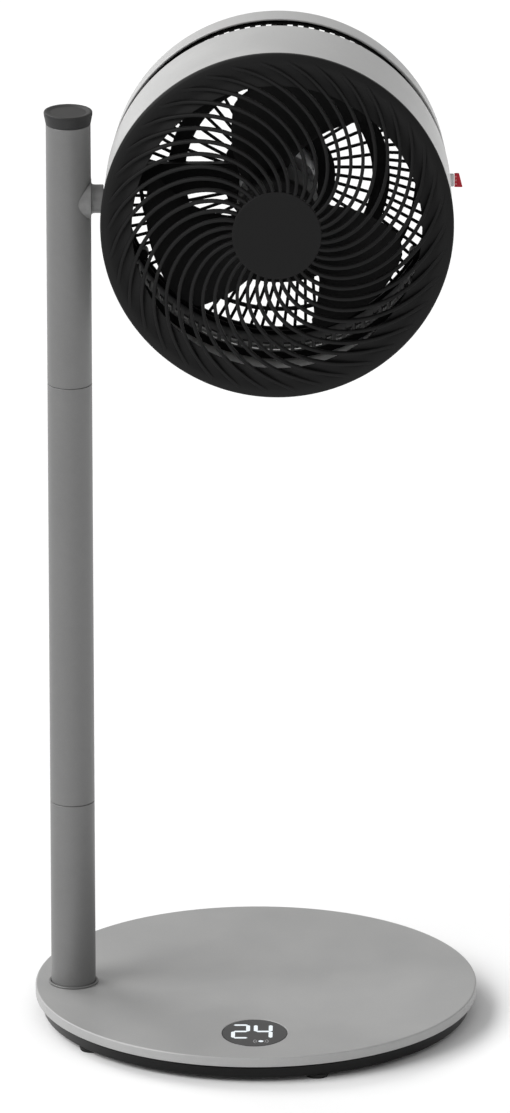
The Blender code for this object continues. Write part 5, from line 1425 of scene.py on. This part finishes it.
class CIRCULATOR_OT_screws(PieceOperator, bpy.types.Operator):
    """Build the pan-head screws with cross recesses and cut threads"""

    bl_idname = "circulator.screws"
    bl_label = "Screws"

    def execute(self, context):
        rows = [("table_screw_", FLOOR, "turntable"), ("pole_screw_", FLOOR, "turntable"),
                ("housing_screw_", HEAD, "head"), ("motor_screw_", HEAD, "head")]
        for prefix, place, body in rows:
            for node in sorted(name for name in frame["nodes"] if name.startswith(prefix)):
                middle = Span(node, place).middle
                own = place @ Matrix.Translation((middle.x, middle.y, 0))
                self.build_screw(node, own, body)
        return {"FINISHED"}

    def build_screw(self, node, place, body):
        """Build one screw from the sizes of its node; its head is at its low end."""
        span = Span(node, place)
        radii = {round(math.hypot(point.x, point.y), 6) for point in span.points}
        shank = min(radius for radius in radii if radius > 0.0003)
        under = min(point.z for point in span.points
                    if abs(math.hypot(point.x, point.y) - shank) < 0.00002)
        head = span.outer
        outline = [(0, span.low), (head * 0.62, span.low + 0.00008, 0.002), (head, under - 0.0004, 0.0006),
                   (head, under, 0.0002), (shank, under)]
        height = under + 0.0008
        pitch = 0.0007
        root = shank - 0.00028
        while height + pitch < span.high - 0.0006:
            outline += [(root, height), (shank, height + pitch * 0.35), (shank, height + pitch * 0.5)]
            height += pitch
        outline += [(root, span.high - 0.0006), (root * 0.6, span.high), (0, span.high)]
        mesh = bmesh.new()
        add_turned(mesh, rounded(outline, 3), SMALL)
        screw = finish_mesh(f"cross_{node}", mesh, place)
        recess = bmesh.new()
        long = head * 0.52
        thin = head * 0.12
        floor = span.low + (under - span.low) * 0.62
        corners = [(-long, -thin), (-thin, -thin), (-thin, -long), (thin, -long), (thin, -thin),
                   (long, -thin), (long, thin), (thin, thin), (thin, long), (-thin, long),
                   (-thin, thin), (-long, thin)]
        add_prism(recess, corners, span.low - 0.001, floor)
        combine(screw, recess, place)
        settle(screw, body, [use("pole_steel")], [node])


# ---------------------------------------------------------------- tab
class CIRCULATOR_OT_tab(PieceOperator, bpy.types.Operator):
    """Build the clip on the rear ring and the folded red tape that it holds"""

    bl_idname = "circulator.tab"
    bl_label = "Red Tab"

    def execute(self, context):
        low = TAB.first
        high = TAB.last
        clip = Span("tab_clip", HEAD)
        mesh = bmesh.new()
        outline = rectangle(clip.first.x, clip.last.x, clip.first.y, clip.last.y, [0, 0.0008, 0.0008, 0],
                            4)
        add_prism(mesh, outline, clip.first.z, clip.last.z)
        make_piece("tape_clip", mesh, HEAD, "head", [use("shell")], ["tab_clip"])

        thick = 0.0006
        bend = (high.z - low.z - thick) / 2
        middle = (low.z + high.z) / 2
        top_reach = max(point.x for point in TAB.points if point.y > 0)
        rows = 14
        grid = []
        for row in range(rows + 1):
            along = row / rows
            height = low.y + (high.y - low.y) * along
            reach = high.x + (top_reach - high.x) * along
            grid.append(self.fold(low.x, reach - thick / 2, bend, middle, height, thick))
        count = len(grid[0])
        mesh = bmesh.new()
        lines = [[mesh.verts.new(point) for point in line] for line in grid]
        for first, second in zip(lines, lines[1:]):
            for index in range(count):
                after = (index + 1) % count
                mesh.faces.new((first[index], first[after], second[after], second[index]))
        half = count // 2
        for line in (lines[0], lines[-1]):
            for index in range(half - 1):
                mesh.faces.new((line[index], line[index + 1], line[count - 2 - index],
                                line[count - 1 - index]))
        tape = make_piece("red_tape_tab", mesh, HEAD, "head", [use("tape")], ["red_tab"])

        mesh = bmesh.new()
        for face in (low.z, high.z):
            for index in range(3):
                height = low.y + (high.y - low.y) * (0.22 + 0.28 * index)
                self.add_stitch(mesh, low.x + 0.0011, height, face)
        make_piece("tape_stitches", mesh, HEAD, "head", [use("thread")])
        return {"FINISHED"}

    def fold(self, near, reach, bend, middle, height, thick):
        """Return one closed section of the folded tape at a height."""
        line = [(near, -bend, 0.0, -1.0)]
        straight = reach - bend
        for step in range(1, 7):
            line.append((near + (straight - near) * step / 6, -bend, 0.0, -1.0))
        for step in range(1, 12):
            turn = -math.pi / 2 + math.pi * step / 12
            line.append((straight + bend * math.cos(turn), bend * math.sin(turn), math.cos(turn),
                         math.sin(turn)))
        for step in range(7):
            line.append((straight + (near - straight) * step / 6, bend, 0.0, 1.0))
        outside = [(x + across * thick / 2, height, middle + z + deep * thick / 2)
                   for x, z, across, deep in line]
        inside = [(x - across * thick / 2, height, middle + z - deep * thick / 2)
                  for x, z, across, deep in line]
        return outside + inside[::-1]

    def add_stitch(self, mesh, x, y, z):
        """Add one short thread that lies on the tape."""
        sections = []
        radius = 0.00022
        for step in range(7):
            along = -1 + 2 * step / 6
            thread = radius * math.sqrt(max(0.04, 1 - along ** 4))
            middle = z - math.copysign(0.00012, z - TAB.middle.z)
            sections.append([(x + thread * math.cos(turn), y + along * 0.0008,
                              middle + thread * math.sin(turn)) for turn in spread(10)])
        add_swept(mesh, sections)


# ---------------------------------------------------------------- parts that keep their shape
KEPT_FINISHES = {
    "oscillation_motor": "pole_steel", "drive_pinion": "nylon", "ring_gear": "nylon",
    "turntable_hub": "black_plastic", "swing_screw": "pole_steel", "counterweight": "cast_iron",
    "display_board": "board", "pole_socket": "cast_iron", "coupler_lower": "pole_steel",
    "coupler_upper": "pole_steel", "arm_anchor": "cast_iron", "tilt_shaft": "steel",
    "friction_washer": "nylon", "tilt_nut": "steel", "cable_duct": "black_plastic", "motor_can": "steel",
    "motor_end_plate": "steel", "bearing_rear": "steel", "bearing_front": "steel",
    "motor_stator": "winding", "motor_shaft": "steel", "motor_rotor": "dark_steel",
}


class CIRCULATOR_OT_inner_parts(PieceOperator, bpy.types.Operator):
    """Give the inner parts that keep the frame's shape their finishes"""

    bl_idname = "circulator.inner_parts"
    bl_label = "Inner Parts"

    def execute(self, context):
        for node, finish_name in KEPT_FINISHES.items():
            for holder in frame["nodes"][node].material_slots:
                holder.material = use(finish_name)
        return {"FINISHED"}


# ---------------------------------------------------------------- stage
def look_matrix(place, aim, roll):
    """Return the matrix of a camera or light at a place, looking at a point."""
    back = (place - aim).normalized()
    side = Vector((0, 0, 1)).cross(back).normalized()
    up = back.cross(side)
    turn = Matrix((side, up, back)).transposed().to_4x4()
    return Matrix.Translation(place) @ turn @ Matrix.Rotation(roll, 4, "Z")


def add_sun(name, place, strength, softness):
    """Add an even light from a place, with soft shadows; softness is in degrees."""
    data = bpy.data.lights.new(name, "SUN")
    data.energy = strength
    data.angle = math.radians(softness)
    item = bpy.data.objects.new(name, data)
    item.matrix_world = look_matrix(Vector(place), Vector(), 0.0)
    bpy.context.scene.collection.objects.link(item)


class CIRCULATOR_OT_stage(PieceOperator, bpy.types.Operator):
    """Set up the pale floor, the soft studio light and the camera"""

    bl_idname = "circulator.stage"
    bl_label = "Stage"

    def execute(self, context):
        given = context.scene.circulator
        stage = given.stage
        scene = bpy.context.scene
        scene.view_settings.view_transform = "Standard"
        world = bpy.data.worlds.new("studio_room")
        world.use_nodes = True
        sky = world.node_tree.nodes["Background"]
        sky.inputs["Color"].default_value = (1.0, 1.0, 1.0, 1.0)
        sky.inputs["Strength"].default_value = stage.world_light
        scene.world = world

        mesh = bmesh.new()
        reach = 14.0
        add_prism(mesh, rectangle(-reach, reach, -reach, reach, [1.0] * 4, 8), -0.02, 0.0)
        floor = finish_mesh("pale_floor", mesh, FLOOR)
        tree, shader = new_material("floor_finish", Roughness=0.85)
        shader.inputs["Specular IOR Level"].default_value = 0.0
        fine = use_group(tree, "Fine grain", Grain_per_Metre=300.0)
        grey = stage.floor_grey
        tone = tree.mix(fine["Mottle"], (grey, grey, grey, 1.0), shaded((grey,) * 3, 1.01))
        tree.link(tone, shader.inputs["Base Color"])
        floor.data.materials.append(bpy.data.materials["floor_finish"])

        add_sun("key_light", (-7.5, -3.5, 6.2), stage.key_light, 40)
        add_sun("back_light", (-6.0, 6.0, 6.5), stage.back_light, 30)

        data = bpy.data.cameras.new("catalogue_camera")
        data.lens = stage.lens
        data.sensor_width = 36.0
        data.dof.use_dof = False
        data.clip_end = 60.0
        camera = bpy.data.objects.new("catalogue_camera", data)
        scene.collection.objects.link(camera)
        flat = math.cos(stage.elevation) * stage.distance
        back = Vector((flat * math.sin(stage.azimuth), -flat * math.cos(stage.azimuth),
                       math.sin(stage.elevation) * stage.distance))
        aim = Vector((stage.aim_side, 0.0, stage.aim_height))
        camera.matrix_world = look_matrix(aim + back, aim, stage.roll)
        scene.camera = camera
        return {"FINISHED"}


# ---------------------------------------------------------------- add-on
class CirculatorSettings(bpy.types.PropertyGroup):
    """All the settings of the circulator."""

    base: PointerProperty(name="Base", description="Sizes of the base", type=BaseSettings)
    pole: PointerProperty(name="Pole", description="Sizes of the pole", type=PoleSettings)
    head: PointerProperty(name="Head", description="Sizes of the head", type=HeadSettings)
    grille: PointerProperty(name="Grille", description="Sizes of the front grille",
                            type=GrilleSettings)
    propeller: PointerProperty(name="Propeller", description="Sizes of the propeller",
                               type=PropellerSettings)
    finishes: PointerProperty(name="Finishes", description="Colours of the finishes",
                              type=FinishSettings)
    stage: PointerProperty(name="Stage", description="Camera, lights and floor", type=StageSettings)


OPERATORS = (
    CIRCULATOR_OT_base_plate, CIRCULATOR_OT_base_pan, CIRCULATOR_OT_feet, CIRCULATOR_OT_inlet,
    CIRCULATOR_OT_display, CIRCULATOR_OT_pole, CIRCULATOR_OT_tilt_arm, CIRCULATOR_OT_front_shell,
    CIRCULATOR_OT_rear_housing, CIRCULATOR_OT_rear_ring, CIRCULATOR_OT_rear_grille,
    CIRCULATOR_OT_front_grille, CIRCULATOR_OT_propeller, CIRCULATOR_OT_motor_cover,
    CIRCULATOR_OT_screws, CIRCULATOR_OT_tab, CIRCULATOR_OT_inner_parts, CIRCULATOR_OT_stage,
)


class CIRCULATOR_PT_panel(bpy.types.Panel):
    """Lists the circulator's settings and its builders."""

    bl_idname = "CIRCULATOR_PT_panel"
    bl_label = "Pedestal Air Circulator"
    bl_space_type = "VIEW_3D"
    bl_region_type = "UI"
    bl_category = "Circulator"

    def draw(self, context):
        layout = self.layout
        given = context.scene.circulator
        for key in ("base", "pole", "head", "grille", "propeller", "finishes", "stage"):
            group = getattr(given, key)
            box = layout.box()
            box.label(text=key.capitalize())
            column = box.column()
            for name in group.__annotations__:
                column.prop(group, name)
        column = layout.column()
        for operator in OPERATORS:
            column.operator(operator.bl_idname)


CLASSES = (
    BaseSettings, PoleSettings, HeadSettings, GrilleSettings, PropellerSettings, FinishSettings,
    StageSettings, CirculatorSettings, *OPERATORS, CIRCULATOR_PT_panel,
)


def register():
    """Register the add-on's classes and its settings."""
    for item in CLASSES:
        bpy.utils.register_class(item)
    bpy.types.Scene.circulator = PointerProperty(type=CirculatorSettings)


def unregister():
    """Remove the add-on's settings and classes."""
    del bpy.types.Scene.circulator
    for item in reversed(CLASSES):
        bpy.utils.unregister_class(item)


def main():
    """Build everything."""
    register()
    for operator in OPERATORS:
        getattr(bpy.ops.circulator, operator.bl_idname.partition(".")[2])()


if __name__ == "__main__":
    main()
